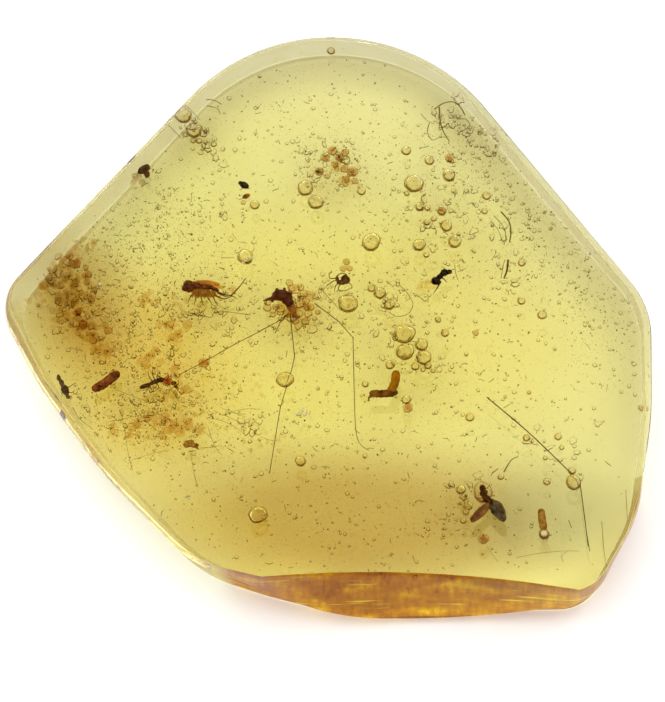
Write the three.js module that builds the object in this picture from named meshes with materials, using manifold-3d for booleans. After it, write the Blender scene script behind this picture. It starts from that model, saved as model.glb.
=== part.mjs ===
// A polished piece of clear copal with insects, pellets and fibres sealed in it.
// Millimetres, +Z up. It lies on its flat ground back at z = 0, with the origin under the middle of its box:
// +X runs across the long way, +Y towards the rounded top end.
// The clear stone is parted in two along a gently waved layer, the seam between two flows of resin, because
// every inclusion lies in that layer, in a pocket of its own that is open to both halves.

import * as THREE from "three";
import { mergeVertices } from "three/addons/utils/BufferGeometryUtils.js";
import Module from "manifold-3d";

const wasm = await Module();
wasm.setup();

// ---------------------------------------------------------------- driving dimensions

const THICKNESS = 12.3; // from the ground back to the middle of the front
const FRONT_SLOPE = 0.075; // how much lower the front lies for each millimetre towards +Y
const FRONT_TILT = 0.04; // and for each millimetre towards +X
const RIM_SHARE = 0.8; // height of the widest place, as a share of the front's height there
const RIM_LOW = { x: 14, y: -41.5, z: 1.8 }; // where the rim dips lowest, under the ground bottom face
const RIM_RISE = 0.013; // how fast the rim rises again, by the square of the distance from there
const SHOULDER_POWER = 2.2; // 2 is a round shoulder, more is a squarer one
const BACK_INSET = 1.5; // how far the flat back lies in from the rim, with a straight side between them
// At the lower left the side is undercut: how far in the flat back lies there, in which direction, and over
// how many degrees to each side, of which the last ease out.
const UNDERCUT = { inset: 2.4, direction: 212, reach: 50, ease: 22 };
const SEAM_GAP = 0.3; // between the two halves
const POCKET_CLEARANCE = 0.35; // between an inclusion and its pocket
const MERGE_DISTANCE = 1e-4; // vertices this near are one

// Two plans: straight sides between rounded corners, counterclockwise.
const RIM = [
  { x: 45.3, y: 1.7, r: 13 }, // right shoulder
  { x: 2.1, y: 56.7, r: 27 }, // wide rounded top
  { x: -37.9, y: 11.5, r: 30 },
  { x: -46.7, y: 1.4, r: 7 }, // left point
  { x: -40.3, y: -10.9, r: 20 },
  { x: -31.9, y: -23.2, r: 60 },
  { x: -18.6, y: -37.2, r: 16 }, // lower left
  { x: 1.5, y: -42.0, r: 40 }, // bottom
  { x: 37.0, y: -41.0, r: 6.5 }, // lower right corner
  { x: 43.2, y: -29.3, r: 20 },
  { x: 45.2, y: -14.3, r: 40 }, // right side
];
// The edge of the polished front. It runs inside the rim, and meets it at the lower right corner.
const FRONT_EDGE = [
  { x: 44.0, y: 0.9, r: 12 },
  { x: 1.2, y: 54.1, r: 25 },
  { x: -45.3, y: 1.8, r: 5 },
  { x: -39.5, y: -10.5, r: 20 },
  { x: -31.2, y: -22.6, r: 60 },
  { x: -19.9, y: -35.2, r: 14 },
  { x: -14.8, y: -39.9, r: 5 },
  { x: 12.0, y: -37.3, r: 160 },
  { x: 36.9, y: -41.1, r: 1.2 },
  { x: 41.1, y: -34.1, r: 20 },
  { x: 43.6, y: -25.5, r: 20 },
  { x: 44.3, y: -14.3, r: 40 },
];
const DEGREES_A_STEP = 9; // round a corner
const SIDE_STEPS = 2;
const MIN_SIDE = 0.05; // narrowest the side is in plan

// The bottom and the lower right side are ground straight from the front's edge down to the rim, between
// these directions from the middle, in degrees from +X. They ease into the rounded sides over GROUND_EASE.
const GROUND_FROM = -113;
const GROUND_TO = -28;
const GROUND_EASE = 14;

// Rings of the loft: shares of the way from the front's edge to the rim.
const SIDE_RINGS = [0, 0.45, 0.75, 0.93, 1];

// ---------------------------------------------------------------- shared geometry

/** Height of the flow seam at a place in plan. */
function seamHeight(x, y) {
  return 6.4 - 0.04 * y + 1.3 * Math.sin(x / 19 + 0.5) * Math.cos(y / 23) + 0.5 * Math.sin(y / 13 + 1);
}

/** A closed outline from corners { x, y, r }: an arc at each corner and a straight side to the next. */
function roundedOutline(corners, sideSteps) {
  const arcs = corners.map(({ x, y, r }, i) => {
    const corner = new THREE.Vector2(x, y);
    const before = corners.at(i - 1);
    const after = corners[(i + 1) % corners.length];
    const toBefore = new THREE.Vector2(before.x - x, before.y - y).normalize();
    const toAfter = new THREE.Vector2(after.x - x, after.y - y).normalize();
    const half = toBefore.angleTo(toAfter) / 2;
    const inward = toBefore.clone().add(toAfter).normalize();
    const centre = corner.clone().addScaledVector(inward, r / Math.sin(half));
    const start = corner.clone().addScaledVector(toBefore, r / Math.tan(half)).sub(centre);
    const bulges = toAfter.cross(toBefore) > 0;
    const turn = (bulges ? 1 : -1) * (Math.PI - 2 * half);
    const cornerSteps = Math.ceil(THREE.MathUtils.radToDeg(Math.abs(turn)) / DEGREES_A_STEP);
    return Array.from({ length: cornerSteps + 1 }, (_, k) =>
      start.clone().rotateAround(new THREE.Vector2(), (turn * k) / cornerSteps).add(centre),
    );
  });
  return arcs.flatMap((arc, i) => {
    const start = arc.at(-1);
    const end = arcs[(i + 1) % arcs.length][0];
    const steps = Array.from({ length: sideSteps - 1 }, (_, k) => (k + 1) / sideSteps);
    return [...arc, ...steps.map((share) => start.clone().lerp(end, share))];
  });
}

/** How far an outline lies from the middle in the direction of a point. */
function reach(outline, towards) {
  const direction = towards.clone().normalize();
  const k = outline.findIndex((p, i) => {
    const next = outline[(i + 1) % outline.length];
    return direction.cross(p) <= 0 && direction.cross(next) > 0 && direction.dot(p) > 0;
  });
  const [p, next] = [outline[k], outline[(k + 1) % outline.length]];
  const before = -direction.cross(p);
  return direction.dot(p.clone().lerp(next, before / (before + direction.cross(next))));
}

/** Height of the front's plane at a place in plan. */
function frontPlane({ x, y }) {
  return THICKNESS - FRONT_SLOPE * y - FRONT_TILT * x;
}

/** Height of the rim, which dips under the ground bottom face. */
function rimHeight(p) {
  const dip = RIM_LOW.z + RIM_RISE * ((p.x - RIM_LOW.x) ** 2 + (p.y - RIM_LOW.y) ** 2);
  return Math.min(RIM_SHARE * frontPlane(p), dip);
}

/** The power of the side's profile: 1 where it is ground straight, and more where it rounds over. */
function profilePower(p) {
  const angle = THREE.MathUtils.radToDeg(Math.atan2(p.y, p.x));
  const inside = Math.min(angle - GROUND_FROM, GROUND_TO - angle) / GROUND_EASE;
  return SHOULDER_POWER - (SHOULDER_POWER - 1) * THREE.MathUtils.clamp(inside, 0, 1);
}

/** How far a profile has dropped, 0 at its start and 1 at its end. */
function drop(share, power) {
  return 1 - (1 - share ** power) ** (1 / power);
}

/** The ring a share of the way from the front's edge, 0, to the rim, 1. */
function sideRing(rim, frontEdge, share) {
  return rim.map((p) => {
    const edge = p.clone().setLength(Math.min(reach(frontEdge, p), p.length() - MIN_SIDE));
    const at = edge.clone().lerp(p, share);
    const top = frontPlane(edge);
    return [at.x, at.y, top - (top - rimHeight(p)) * drop(share, profilePower(p))];
  });
}

/** How far the flat back lies in from the rim, which is more where the side is undercut. */
function backInset(p) {
  const off = Math.abs(THREE.MathUtils.radToDeg(p.angle()) - UNDERCUT.direction);
  const under = THREE.MathUtils.smoothstep(UNDERCUT.reach - off, 0, UNDERCUT.ease);
  return THREE.MathUtils.lerp(BACK_INSET, UNDERCUT.inset, under);
}

/** The edge of the flat back. */
function backEdge(rim) {
  return rim.map((p) => {
    const at = p.clone().setLength(p.length() - backInset(p));
    return [at.x, at.y, 0];
  });
}

/** A closed body lofted through rings, with a point in the middle of its front and back. */
function loftedPebble(rings) {
  const positions = [0, 0, THICKNESS, ...rings.flat(2), 0, 0, 0];
  const n = rings[0].length;
  const last = positions.length / 3 - 1;
  const index = [];
  for (let k = 0; k < n; k++) {
    const next = (k + 1) % n;
    index.push(0, 1 + k, 1 + next);
    for (let ring = 0; ring + 1 < rings.length; ring++) {
      const a = 1 + ring * n;
      const b = a + n;
      index.push(a + k, b + k, b + next, a + k, b + next, a + next);
    }
    const end = 1 + (rings.length - 1) * n;
    index.push(last, end + next, end + k);
  }
  const geometry = new THREE.BufferGeometry();
  geometry.setAttribute("position", new THREE.Float32BufferAttribute(positions, 3));
  geometry.setIndex(index);
  return geometry;
}

// ---------------------------------------------------------------- solids

/** Six times the signed volume of a closed indexed geometry. */
function signedVolume(geometry) {
  const p = geometry.getAttribute("position");
  const corner = (i) => new THREE.Vector3().fromBufferAttribute(p, geometry.index.getX(i));
  let total = 0;
  for (let i = 0; i < geometry.index.count; i += 3) {
    total += corner(i).dot(corner(i + 1).cross(corner(i + 2)));
  }
  return total;
}

/** A manifold solid from a closed geometry, with its faces turned outward. */
function solid(geometry) {
  const bare = geometry.clone();
  bare.deleteAttribute("normal");
  bare.deleteAttribute("uv");
  const merged = mergeVertices(bare, MERGE_DISTANCE);
  const triVerts = Uint32Array.from(merged.index.array);
  if (signedVolume(merged) < 0) {
    for (let i = 0; i < triVerts.length; i += 3) {
      [triVerts[i], triVerts[i + 1]] = [triVerts[i + 1], triVerts[i]];
    }
  }
  const vertProperties = Float32Array.from(merged.getAttribute("position").array);
  return new wasm.Manifold(new wasm.Mesh({ numProp: 3, vertProperties, triVerts }));
}

/** A three.js geometry from a manifold solid. */
function geometryOf(manifold) {
  const { vertProperties, triVerts } = manifold.getMesh();
  const geometry = new THREE.BufferGeometry();
  geometry.setAttribute("position", new THREE.BufferAttribute(Float32Array.from(vertProperties), 3));
  geometry.setIndex(new THREE.BufferAttribute(Uint32Array.from(triVerts), 1));
  geometry.computeVertexNormals();
  return geometry;
}

function joined(solids) {
  return solids.reduce((all, one) => all.add(one));
}

/** A block above (side = 1) or below (side = -1) the flow seam, with half the gap taken off it. */
function seamBlock(side) {
  const width = 104;
  const cells = 12;
  const block = new THREE.BoxGeometry(width, width, 2, cells, cells, 1);
  const p = block.getAttribute("position");
  for (let i = 0; i < p.count; i++) {
    const onSeam = p.getZ(i) * side < 0;
    const seam = seamHeight(p.getX(i), p.getY(i)) + (side * SEAM_GAP) / 2;
    p.setZ(i, onSeam ? seam : side * 3 * THICKNESS);
  }
  return solid(block);
}

// ---------------------------------------------------------------- inclusions
// An inclusion is a list of blobs and limbs in plan. Each lies on the flow seam, lifted by `dz`.
// `grow` swells a part on every side. Its pocket is its parts, swollen by the clearance, or for a compact
// one the plainer blob that `pocket` gives.

/** An egg shape: place, half sizes along its length, across and in height, and its turn in degrees. */
function blob(x, y, along, across, high, turn = 0, dz = 0) {
  return (grow) => {
    const ball = new THREE.OctahedronGeometry(1, 1);
    ball.scale(along + grow, across + grow, high + grow);
    ball.rotateZ(THREE.MathUtils.degToRad(turn));
    ball.translate(x, y, seamHeight(x, y) + dz);
    return solid(ball);
  };
}

/** A thin round leg, rod or fibre through points [x, y] or [x, y, dz]. */
function limb(points, radius, sides = 4) {
  return (grow) => {
    const path = points.map(([x, y, dz = 0]) => new THREE.Vector3(x, y, seamHeight(x, y) + dz));
    const stretch = (end, from) => end.add(end.clone().sub(from).setLength(grow + 1e-3));
    stretch(path[0], path[1]);
    stretch(path.at(-1), path.at(-2));
    const middle = new THREE.Vector2();
    const section = new THREE.Shape(
      Array.from({ length: sides }, (_, k) =>
        new THREE.Vector2(radius + grow, 0).rotateAround(middle, (2 * Math.PI * (k + 0.5)) / sides),
      ),
    );
    const curve = new THREE.CatmullRomCurve3(path, false, "centripetal");
    const steps = points.length === 2 ? 2 : 2 * (points.length - 1);
    return solid(new THREE.ExtrudeGeometry(section, { steps, bevelEnabled: false, extrudePath: curve }));
  };
}

/** A flat leaf-shaped wing or flake: a blob that is thin in height. */
function flake(x, y, along, across, turn, dz = 0) {
  return blob(x, y, along, across, 0.22, turn, dz);
}

const LEG = 0.13; // half the thickness of an insect's leg
const HAIR = 0.12; // and of a loose fibre

const INCLUSIONS = {
  // The large insect in the middle: a dark body with a beak, and four long bent legs.
  long_legged_insect: {
    colour: 0x4a1b12,
    parts: [
      blob(-6.5, 2.9, 1.45, 1.15, 0.9, 10),
      blob(-5.2, 1.2, 1.5, 1.3, 0.9, -40),
      limb([[-7.0, 3.0], [-9.3, 2.3]], 0.2),
      limb([[-5.6, 1.0], [-7.2, -0.8], [-10.9, -2.9], [-16.5, -6.2], [-21.0, -8.6]], LEG),
      limb([[-5.6, 0.8], [-6.8, -0.9], [-7.4, -2.6]], LEG),
      limb([[-5.2, 0.8], [-5.1, -2.8], [-4.8, -6.5], [-6.7, -13.5], [-8.3, -23.2]], LEG),
      limb(
        [[-4.6, 1.8], [-2.0, 1.9], [1.5, -0.9], [3.5, -3.2], [3.8, -13.8], [4.2, -18.1], [5.5, -19.8]],
        LEG,
      ),
    ],
  },
  // A brown bug seen from its side: head, fore-body, long folded wings and a spiny tail.
  planthopper: {
    colour: 0x6b2d10,
    pocket: [
      blob(-17.5, 3.7, 4.9, 3.2, 1.9),
      limb([[-14.6, 3.2], [-13.4, 3.3], [-12.3, 4.7], [-11.6, 5.7]], LEG),
    ],
    parts: [
      blob(-19.6, 4.4, 1.1, 0.9, 0.8, 10),
      blob(-17.4, 4.1, 2.3, 0.85, 0.8, -6),
      blob(-16.2, 3.4, 1.2, 0.7, 0.6, -15),
      limb([[-16.2, 3.3], [-14.6, 3.2], [-13.4, 3.3], [-12.3, 4.7], [-11.6, 5.7]], LEG),
      limb([[-17.6, 3.8], [-16.9, 2.4], [-16.2, 1.7]], LEG),
      limb([[-18.0, 3.8], [-19.0, 2.2]], LEG),
    ],
  },
  // A small black ant: abdomen, waist and head, with one trailing leg.
  black_ant: {
    colour: 0x14100c,
    pocket: [blob(15.8, 5.3, 3.6, 2.2, 1.7, 55)],
    parts: [
      blob(15.1, 5.3, 0.7, 0.6, 0.6, 45),
      blob(16.1, 6.3, 0.8, 0.65, 0.65, 30),
      blob(16.9, 6.6, 0.45, 0.4, 0.4),
      limb([[15.8, 5.7], [15.1, 3.8], [14.5, 3.0]], LEG),
    ],
  },
  // A brown ant seen from its side, legs up.
  ant: {
    colour: 0x3a1c0e,
    pocket: [blob(-24.7, -9.1, 2.8, 2.4, 1.5, 10)],
    parts: [
      blob(-25.6, -10.1, 1.1, 0.6, 0.6, 15),
      blob(-24.2, -9.6, 0.6, 0.5, 0.5),
      blob(-23.4, -9.4, 0.5, 0.42, 0.42),
      limb([[-25.0, -9.9], [-25.1, -8.5], [-25.4, -7.9]], LEG),
      limb([[-24.2, -9.6], [-24.2, -8.3], [-24.7, -7.4]], LEG),
    ],
  },
  // A dark gnat near the left point, with its legs drawn in.
  gnat: {
    colour: 0x2b2114,
    parts: [
      blob(-36.9, -10.8, 0.95, 0.6, 0.65, -62, 0.3),
      limb([[-37.0, -10.7], [-38.1, -8.8]], 0.2),
      limb([[-36.9, -10.9], [-36.4, -12.0]], 0.2),
      limb([[-37.0, -11.0], [-35.8, -10.8], [-35.2, -10.1]], LEG),
    ],
  },
  // A small fly in a round halo, two mottled wings spread below it.
  winged_fly: {
    colour: 0x5a3210,
    pocket: [blob(22.0, -26.9, 4.3, 3.9, 1.5, 90)],
    parts: [
      blob(21.5, -25.7, 1.5, 1.15, 0.7, 80),
      blob(22.3, -26.9, 0.8, 0.55, 0.5, -50),
      flake(21.2, -28.8, 2.1, 0.6, 45),
      flake(23.5, -28.2, 1.9, 0.75, -58),
    ],
  },
  // A mite or small spider: a round body and four of its legs.
  spider: {
    colour: 0x2d1a10,
    pocket: [blob(1.7, 4.9, 3.3, 3.1, 1.6)],
    parts: [
      blob(2.0, 5.4, 1.2, 0.8, 0.7),
      limb([[1.4, 5.3], [0.3, 5.1], [-0.4, 4.8]], LEG),
      limb([[1.4, 5.5], [0.3, 6.0], [0.5, 6.8]], LEG),
      limb([[1.6, 5.3], [1.0, 3.9], [0.9, 2.9]], LEG),
      limb([[2.2, 5.3], [3.0, 4.7], [3.4, 4.1]], LEG),
    ],
  },
  beetle: {
    colour: 0x15110c,
    parts: [blob(-11.8, 19.5, 0.9, 0.55, 0.5, -30)],
  },
  seed_husk: {
    colour: 0x7a3a14,
    parts: [blob(-11.6, 17.9, 0.6, 0.4, 0.35, 30)],
  },
  // Pellets of frass: a plain rod, two that lie across each other, and one with a round end.
  frass_rod: {
    colour: 0x6a2c12,
    parts: [limb([[-32.9, -10.7], [-31.2, -9.5], [-29.4, -8.3]], 0.52, 8)],
  },
  frass_elbow: {
    colour: 0x8a5218,
    parts: [limb([[9.4, -8.5], [9.1, -11.0]], 0.62, 8), limb([[9.8, -11.2], [5.9, -11.4]], 0.6, 8)],
  },
  frass_drop: {
    colour: 0x7c5a26,
    parts: [limb([[29.7, -28.5], [30.0, -31.0]], 0.5, 8), blob(30.0, -31.7, 0.85, 0.85, 0.8)],
  },
  bark_crumb: {
    colour: 0x5c2410,
    parts: [blob(-21.9, -9.7, 0.75, 0.6, 0.5, 60)],
  },
  bark_flake: {
    colour: 0x5e3b18,
    parts: [flake(-19.3, -18.9, 1.2, 0.6, 15)],
  },
  long_fibre: {
    colour: 0x6e5426,
    parts: [
      limb(
        [[22.1, -11.8], [28.0, -16.9], [33.4, -22.3], [35.0, -24.5], [35.6, -28.4], [36.2, -34.4]],
        HAIR,
      ),
    ],
  },
  short_fibre: {
    colour: 0x6e5426,
    parts: [limb([[24.5, -22.8], [25.5, -21.0], [26.5, -20.5]], HAIR)],
  },
};

// The larger gas bubbles on the seam, which leave round pits in both halves: place and radius.
const BUBBLES = [
  { x: 12.0, y: 19.8, r: 1.2 },
  { x: 6.0, y: 11.0, r: 1.2 },
  { x: 2.8, y: 1.8, r: 1.25 },
  { x: 10.6, y: -2.5, r: 1.3 },
  { x: 10.9, y: -5.1, r: 1.1 },
  { x: 3.4, y: 19.3, r: 0.9 },
  { x: -11.6, y: 8.9, r: 0.95 },
  { x: 34.2, y: -21.1, r: 1.0 },
  { x: 16.5, y: 13.5, r: 1.2 },
  { x: -18.9, y: 27.3, r: 1.0 },
];

// ---------------------------------------------------------------- the stone

function pebble() {
  const rim = roundedOutline(RIM, SIDE_STEPS);
  const frontEdge = roundedOutline(FRONT_EDGE, SIDE_STEPS);
  const side = SIDE_RINGS.map((share) => sideRing(rim, frontEdge, share));
  return solid(loftedPebble([...side, backEdge(rim)]));
}

function bubblePit({ x, y, r }) {
  const ball = new THREE.OctahedronGeometry(r, 1);
  ball.translate(x, y, seamHeight(x, y));
  return solid(ball);
}

function build() {
  const group = new THREE.Group();
  const add = (name, manifold, look) => {
    const mesh = new THREE.Mesh(geometryOf(manifold), new THREE.MeshStandardMaterial(look));
    mesh.name = name;
    group.add(mesh);
  };

  const pockets = [];
  for (const [name, { colour, parts, pocket = parts }] of Object.entries(INCLUSIONS)) {
    add(name, joined(parts.map((part) => part(0))), { color: colour, roughness: 0.5, metalness: 0 });
    pockets.push(...pocket.map((part) => part(POCKET_CLEARANCE)));
  }

  const hollow = joined([...pockets, ...BUBBLES.map(bubblePit)]);
  const clear = { color: 0xe8d070, roughness: 0.05, metalness: 0, transparent: true, opacity: 0.4 };
  const stone = pebble().subtract(hollow);
  add("copal_front", stone.intersect(seamBlock(1)), clear);
  add("copal_back", stone.intersect(seamBlock(-1)), clear);
  return group;
}

export default build();
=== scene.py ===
"""Looks of a polished pebble of clear copal with insects, pellets, fibres and bubbles sealed in it.

Shapes are made in millimetres, in the frame's own axes, and scaled to metres when a piece is finished.
The frame is +Z up, with the pebble lying on its ground back: +X to the right, +Y away from the camera.
"""

import math
import random

import bpy
from mathutils import Matrix, Vector, noise


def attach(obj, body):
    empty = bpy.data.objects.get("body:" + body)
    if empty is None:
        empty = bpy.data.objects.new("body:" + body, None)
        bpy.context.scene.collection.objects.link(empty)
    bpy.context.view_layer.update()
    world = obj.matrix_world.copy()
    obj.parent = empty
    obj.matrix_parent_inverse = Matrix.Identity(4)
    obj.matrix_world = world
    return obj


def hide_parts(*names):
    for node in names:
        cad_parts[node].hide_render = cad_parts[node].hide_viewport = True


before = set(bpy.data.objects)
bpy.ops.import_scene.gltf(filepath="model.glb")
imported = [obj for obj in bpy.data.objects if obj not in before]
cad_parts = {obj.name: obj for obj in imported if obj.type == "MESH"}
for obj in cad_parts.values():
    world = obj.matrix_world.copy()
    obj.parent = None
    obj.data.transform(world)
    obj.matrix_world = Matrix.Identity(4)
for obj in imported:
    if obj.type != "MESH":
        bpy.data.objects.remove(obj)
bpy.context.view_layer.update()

MM = 0.001

# ------------------------------------------------------------------ the pebble's shape
# The same named values as in the part's source.

THICKNESS = 12.3
FRONT_SLOPE = 0.075
FRONT_TILT = 0.04
RIM_SHARE = 0.8
RIM_LOW = (14, -41.5, 1.8)
RIM_RISE = 0.013
SHOULDER_POWER = 2.2
BACK_INSET = 1.5
UNDERCUT, UNDERCUT_DIRECTION, UNDERCUT_REACH, UNDERCUT_EASE = 2.4, 212, 50, 22
RIM = [
    (45.3, 1.7, 13),
    (2.1, 56.7, 27),
    (-37.9, 11.5, 30),
    (-46.7, 1.4, 7),
    (-40.3, -10.9, 20),
    (-31.9, -23.2, 60),
    (-18.6, -37.2, 16),
    (1.5, -42.0, 40),
    (37.0, -41.0, 6.5),
    (43.2, -29.3, 20),
    (45.2, -14.3, 40),
]
FRONT_EDGE = [
    (44.0, 0.9, 12),
    (1.2, 54.1, 25),
    (-45.3, 1.8, 5),
    (-39.5, -10.5, 20),
    (-31.2, -22.6, 60),
    (-19.9, -35.2, 14),
    (-14.8, -39.9, 5),
    (12.0, -37.3, 160),
    (36.9, -41.1, 1.2),
    (41.1, -34.1, 20),
    (43.6, -25.5, 20),
    (44.3, -14.3, 40),
]
GROUND_FROM = -113
GROUND_TO = -28
GROUND_EASE = 14
MIN_SIDE = 0.05
INSET = 0.9993  # keeps the fine surface inside the faceted solid


def unit(x, y):
    length = math.hypot(x, y)
    return x / length, y / length


def seam_height(x, y):
    """Height of the flow seam, the gently waved layer that the inclusions lie in."""
    wave = 1.3 * math.sin(x / 19 + 0.5) * math.cos(y / 23) + 0.5 * math.sin(y / 13 + 1)
    return 6.4 - 0.04 * y + wave


def front_plane(x, y):
    return THICKNESS - FRONT_SLOPE * y - FRONT_TILT * x


def on_seam(x, y, lift=0.0):
    return Vector((x, y, seam_height(x, y) + lift))


def rounded_outline(corners, degrees_a_step, side_step):
    """A closed outline from corners (x, y, radius): an arc at each and a straight side to the next."""
    arcs = []
    for i, (x, y, r) in enumerate(corners):
        bx, by = unit(corners[i - 1][0] - x, corners[i - 1][1] - y)
        nx, ny = corners[(i + 1) % len(corners)][:2]
        ax, ay = unit(nx - x, ny - y)
        half = math.acos(ax * bx + ay * by) / 2
        mx, my = unit(ax + bx, ay + by)
        centre = Vector((x + mx * r / math.sin(half), y + my * r / math.sin(half)))
        start = Vector((x + bx * r / math.tan(half), y + by * r / math.tan(half))) - centre
        bulges = ax * by - ay * bx > 0
        turn = (1 if bulges else -1) * (math.pi - 2 * half)
        steps = max(1, math.ceil(math.degrees(abs(turn)) / degrees_a_step))
        arcs.append([centre + Matrix.Rotation(turn * k / steps, 2) @ start for k in range(steps + 1)])
    points = []
    for i, arc in enumerate(arcs):
        end = arcs[(i + 1) % len(arcs)][0]
        steps = max(1, round((end - arc[-1]).length / side_step))
        points += arc + [arc[-1].lerp(end, k / steps) for k in range(1, steps)]
    return points


def reach(outline, towards):
    """How far an outline lies from the middle in the direction of a point."""
    way = towards.normalized()
    for a, b in zip(outline, outline[1:] + outline[:1]):
        before, after = -way.cross(a), way.cross(b)
        if before >= 0 and after > 0 and way.dot(a) > 0:
            return way.dot(a.lerp(b, before / (before + after)))
    raise ValueError("the outline does not go round the middle")


def rim_height(p):
    low_x, low_y, low_z = RIM_LOW
    dip = low_z + RIM_RISE * ((p.x - low_x) ** 2 + (p.y - low_y) ** 2)
    return min(RIM_SHARE * front_plane(p.x, p.y), dip)


def ground_share(p):
    """1 where the side is ground straight, 0 where it rounds over, and between where it eases."""
    angle = math.degrees(math.atan2(p.y, p.x))
    return min(1.0, max(0.0, min(angle - GROUND_FROM, GROUND_TO - angle) / GROUND_EASE))


def profile_power(p):
    """The power of the side's profile: 1 is straight, and more is rounder."""
    return SHOULDER_POWER - (SHOULDER_POWER - 1) * ground_share(p)


def drop(share, power):
    """How far a profile has dropped, 0 at its start and 1 at its end."""
    return 1 - max(0.0, 1 - share**power) ** (1 / power)


def side_ring(rim, front_edge, share):
    """The ring a share of the way from the front's edge, 0, to the rim, 1."""
    ring = []
    for p in rim:
        edge = p.normalized() * min(reach(front_edge, p), p.length - MIN_SIDE)
        at = edge.lerp(p, share)
        top = front_plane(edge.x, edge.y)
        ring.append((at.x, at.y, top - (top - rim_height(p)) * drop(share, profile_power(p))))
    return ring


def back_inset(p):
    """How far the flat back lies in from the rim, which is more where the side is undercut."""
    off = abs(math.degrees(math.atan2(p.y, p.x)) % 360 - UNDERCUT_DIRECTION)
    under = min(1.0, max(0.0, (UNDERCUT_REACH - off) / UNDERCUT_EASE))
    return BACK_INSET + (UNDERCUT - BACK_INSET) * under * under * (3 - 2 * under)


def back_ring(rim, share):
    """The ring a share of the way up the straight side from the flat back, 0, to the rim, 1."""
    ring = []
    for p in rim:
        at = p.normalized() * (p.length - back_inset(p) * (1 - share))
        ring.append((at.x, at.y, rim_height(p) * share))
    return ring


# ------------------------------------------------------------------ mesh helpers


LUMPS = 1.7  # how close together the lumps of a rough surface are


def swell(way, rough, seed):
    """How far a rough surface is pushed out in a direction, as a factor."""
    return 1 + rough * noise.noise(way * LUMPS + Vector((seed * 3.1, seed * 7.7, 0)))


class Shapes:
    """Collects closed shapes in millimetres, each with the number of its material, for one mesh."""

    def __init__(self):
        self.verts = []
        self.faces = []
        self.looks = []

    def add(self, verts, faces, look=0):
        base = len(self.verts)
        self.verts += [tuple(v) for v in verts]
        self.faces += [tuple(base + i for i in face) for face in faces]
        self.looks += [look] * len(faces)

    def face(self, corners, look):
        self.faces.append(corners)
        self.looks.append(look)

    def ball(self, centre, radii, turn, segments, rough=0.0, seed=0, look=0, inward=False, tilt=0.0):
        """An egg-shaped body. `rough` pushes its surface in and out, and `inward` makes it a void."""
        rows = max(3, segments // 2)
        spin = Matrix.Rotation(math.radians(turn), 3, "Z") @ Matrix.Rotation(math.radians(tilt), 3, "Y")
        size = Vector(radii)
        verts = []
        for row in range(rows + 1):
            polar = math.pi * row / rows
            out, up = math.sin(polar), math.cos(polar)
            ring = [0.0] if row in (0, rows) else [2 * math.pi * k / segments for k in range(segments)]
            for angle in ring:
                way = Vector((out * math.cos(angle), out * math.sin(angle), up))
                verts.append(Vector(centre) + spin @ (way * size * swell(way, rough, seed)))
        last = len(verts) - 1
        faces = []
        for k in range(segments):
            j = (k + 1) % segments
            faces.append((0, 1 + k, 1 + j))
            for row in range(rows - 2):
                a = 1 + row * segments
                faces.append((a + k, a + segments + k, a + segments + j, a + j))
            end = 1 + (rows - 2) * segments
            faces.append((last, end + j, end + k))
        if inward:
            faces = [face[::-1] for face in faces]
        self.add(verts, faces, look)

    def tube(self, points, radii, sides, look=0):
        """A closed tapering tube through points. `radii` is one radius for each point."""
        points = [Vector(p) for p in points]
        befores, afters = points[:1] + points[:-1], points[1:] + points[-1:]
        ways = [(after - before).normalized() for before, after in zip(befores, afters)]
        across = ways[0].orthogonal().normalized()
        verts = [points[0]]
        for point, way, radius in zip(points, ways, radii):
            across = (across - way * across.dot(way)).normalized()
            up = way.cross(across)
            for k in range(sides):
                angle = 2 * math.pi * k / sides
                verts.append(point + (across * math.cos(angle) + up * math.sin(angle)) * radius)
        verts.append(points[-1])
        last = len(verts) - 1
        faces = []
        for k in range(sides):
            j = (k + 1) % sides
            faces.append((0, 1 + j, 1 + k))
            for row in range(len(points) - 1):
                a = 1 + row * sides
                faces.append((a + k, a + j, a + sides + j, a + sides + k))
            end = 1 + (len(points) - 1) * sides
            faces.append((last, end + k, end + j))
        self.add(verts, faces, look)

    def ring(self, centre, size, thick, turn, tilt, segments, rough, seed=0, look=0):
        """A closed ring, thicker on the side towards -Y, away from the light: painted shade, as a
        bubble's edge is darker there.
        """
        sides = 4
        spin = Matrix.Rotation(math.radians(turn), 3, "Z") @ Matrix.Rotation(math.radians(tilt), 3, "X")
        verts = []
        for k in range(segments):
            angle = 2 * math.pi * k / segments
            way = Vector((math.cos(angle), math.sin(angle), 0))
            middle = Vector((way.x * size[0], way.y * size[1], 0)) * swell(way, rough, seed)
            # painted shade: thicker on the side towards -Y, away from the light
            r = thick * (1 - 0.5 * (spin @ way).y)
            for side in range(sides):
                around = 2 * math.pi * side / sides
                out = way * math.cos(around) + Vector((0, 0, math.sin(around)))
                verts.append(Vector(centre) + spin @ (middle + out * r))
        faces = []
        for k in range(segments):
            j = (k + 1) % segments
            for side in range(sides):
                t = (side + 1) % sides
                faces.append((k * sides + side, j * sides + side, j * sides + t, k * sides + t))
        self.add(verts, faces, look)

    def make(self, name, materials):
        mesh = bpy.data.meshes.new(name)
        mesh.from_pydata(self.verts, [], self.faces)
        mesh.polygons.foreach_set("material_index", self.looks)
        for material in materials:
            mesh.materials.append(material)
        mesh.update()
        obj = bpy.data.objects.new(name, mesh)
        bpy.context.scene.collection.objects.link(obj)
        return obj


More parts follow.
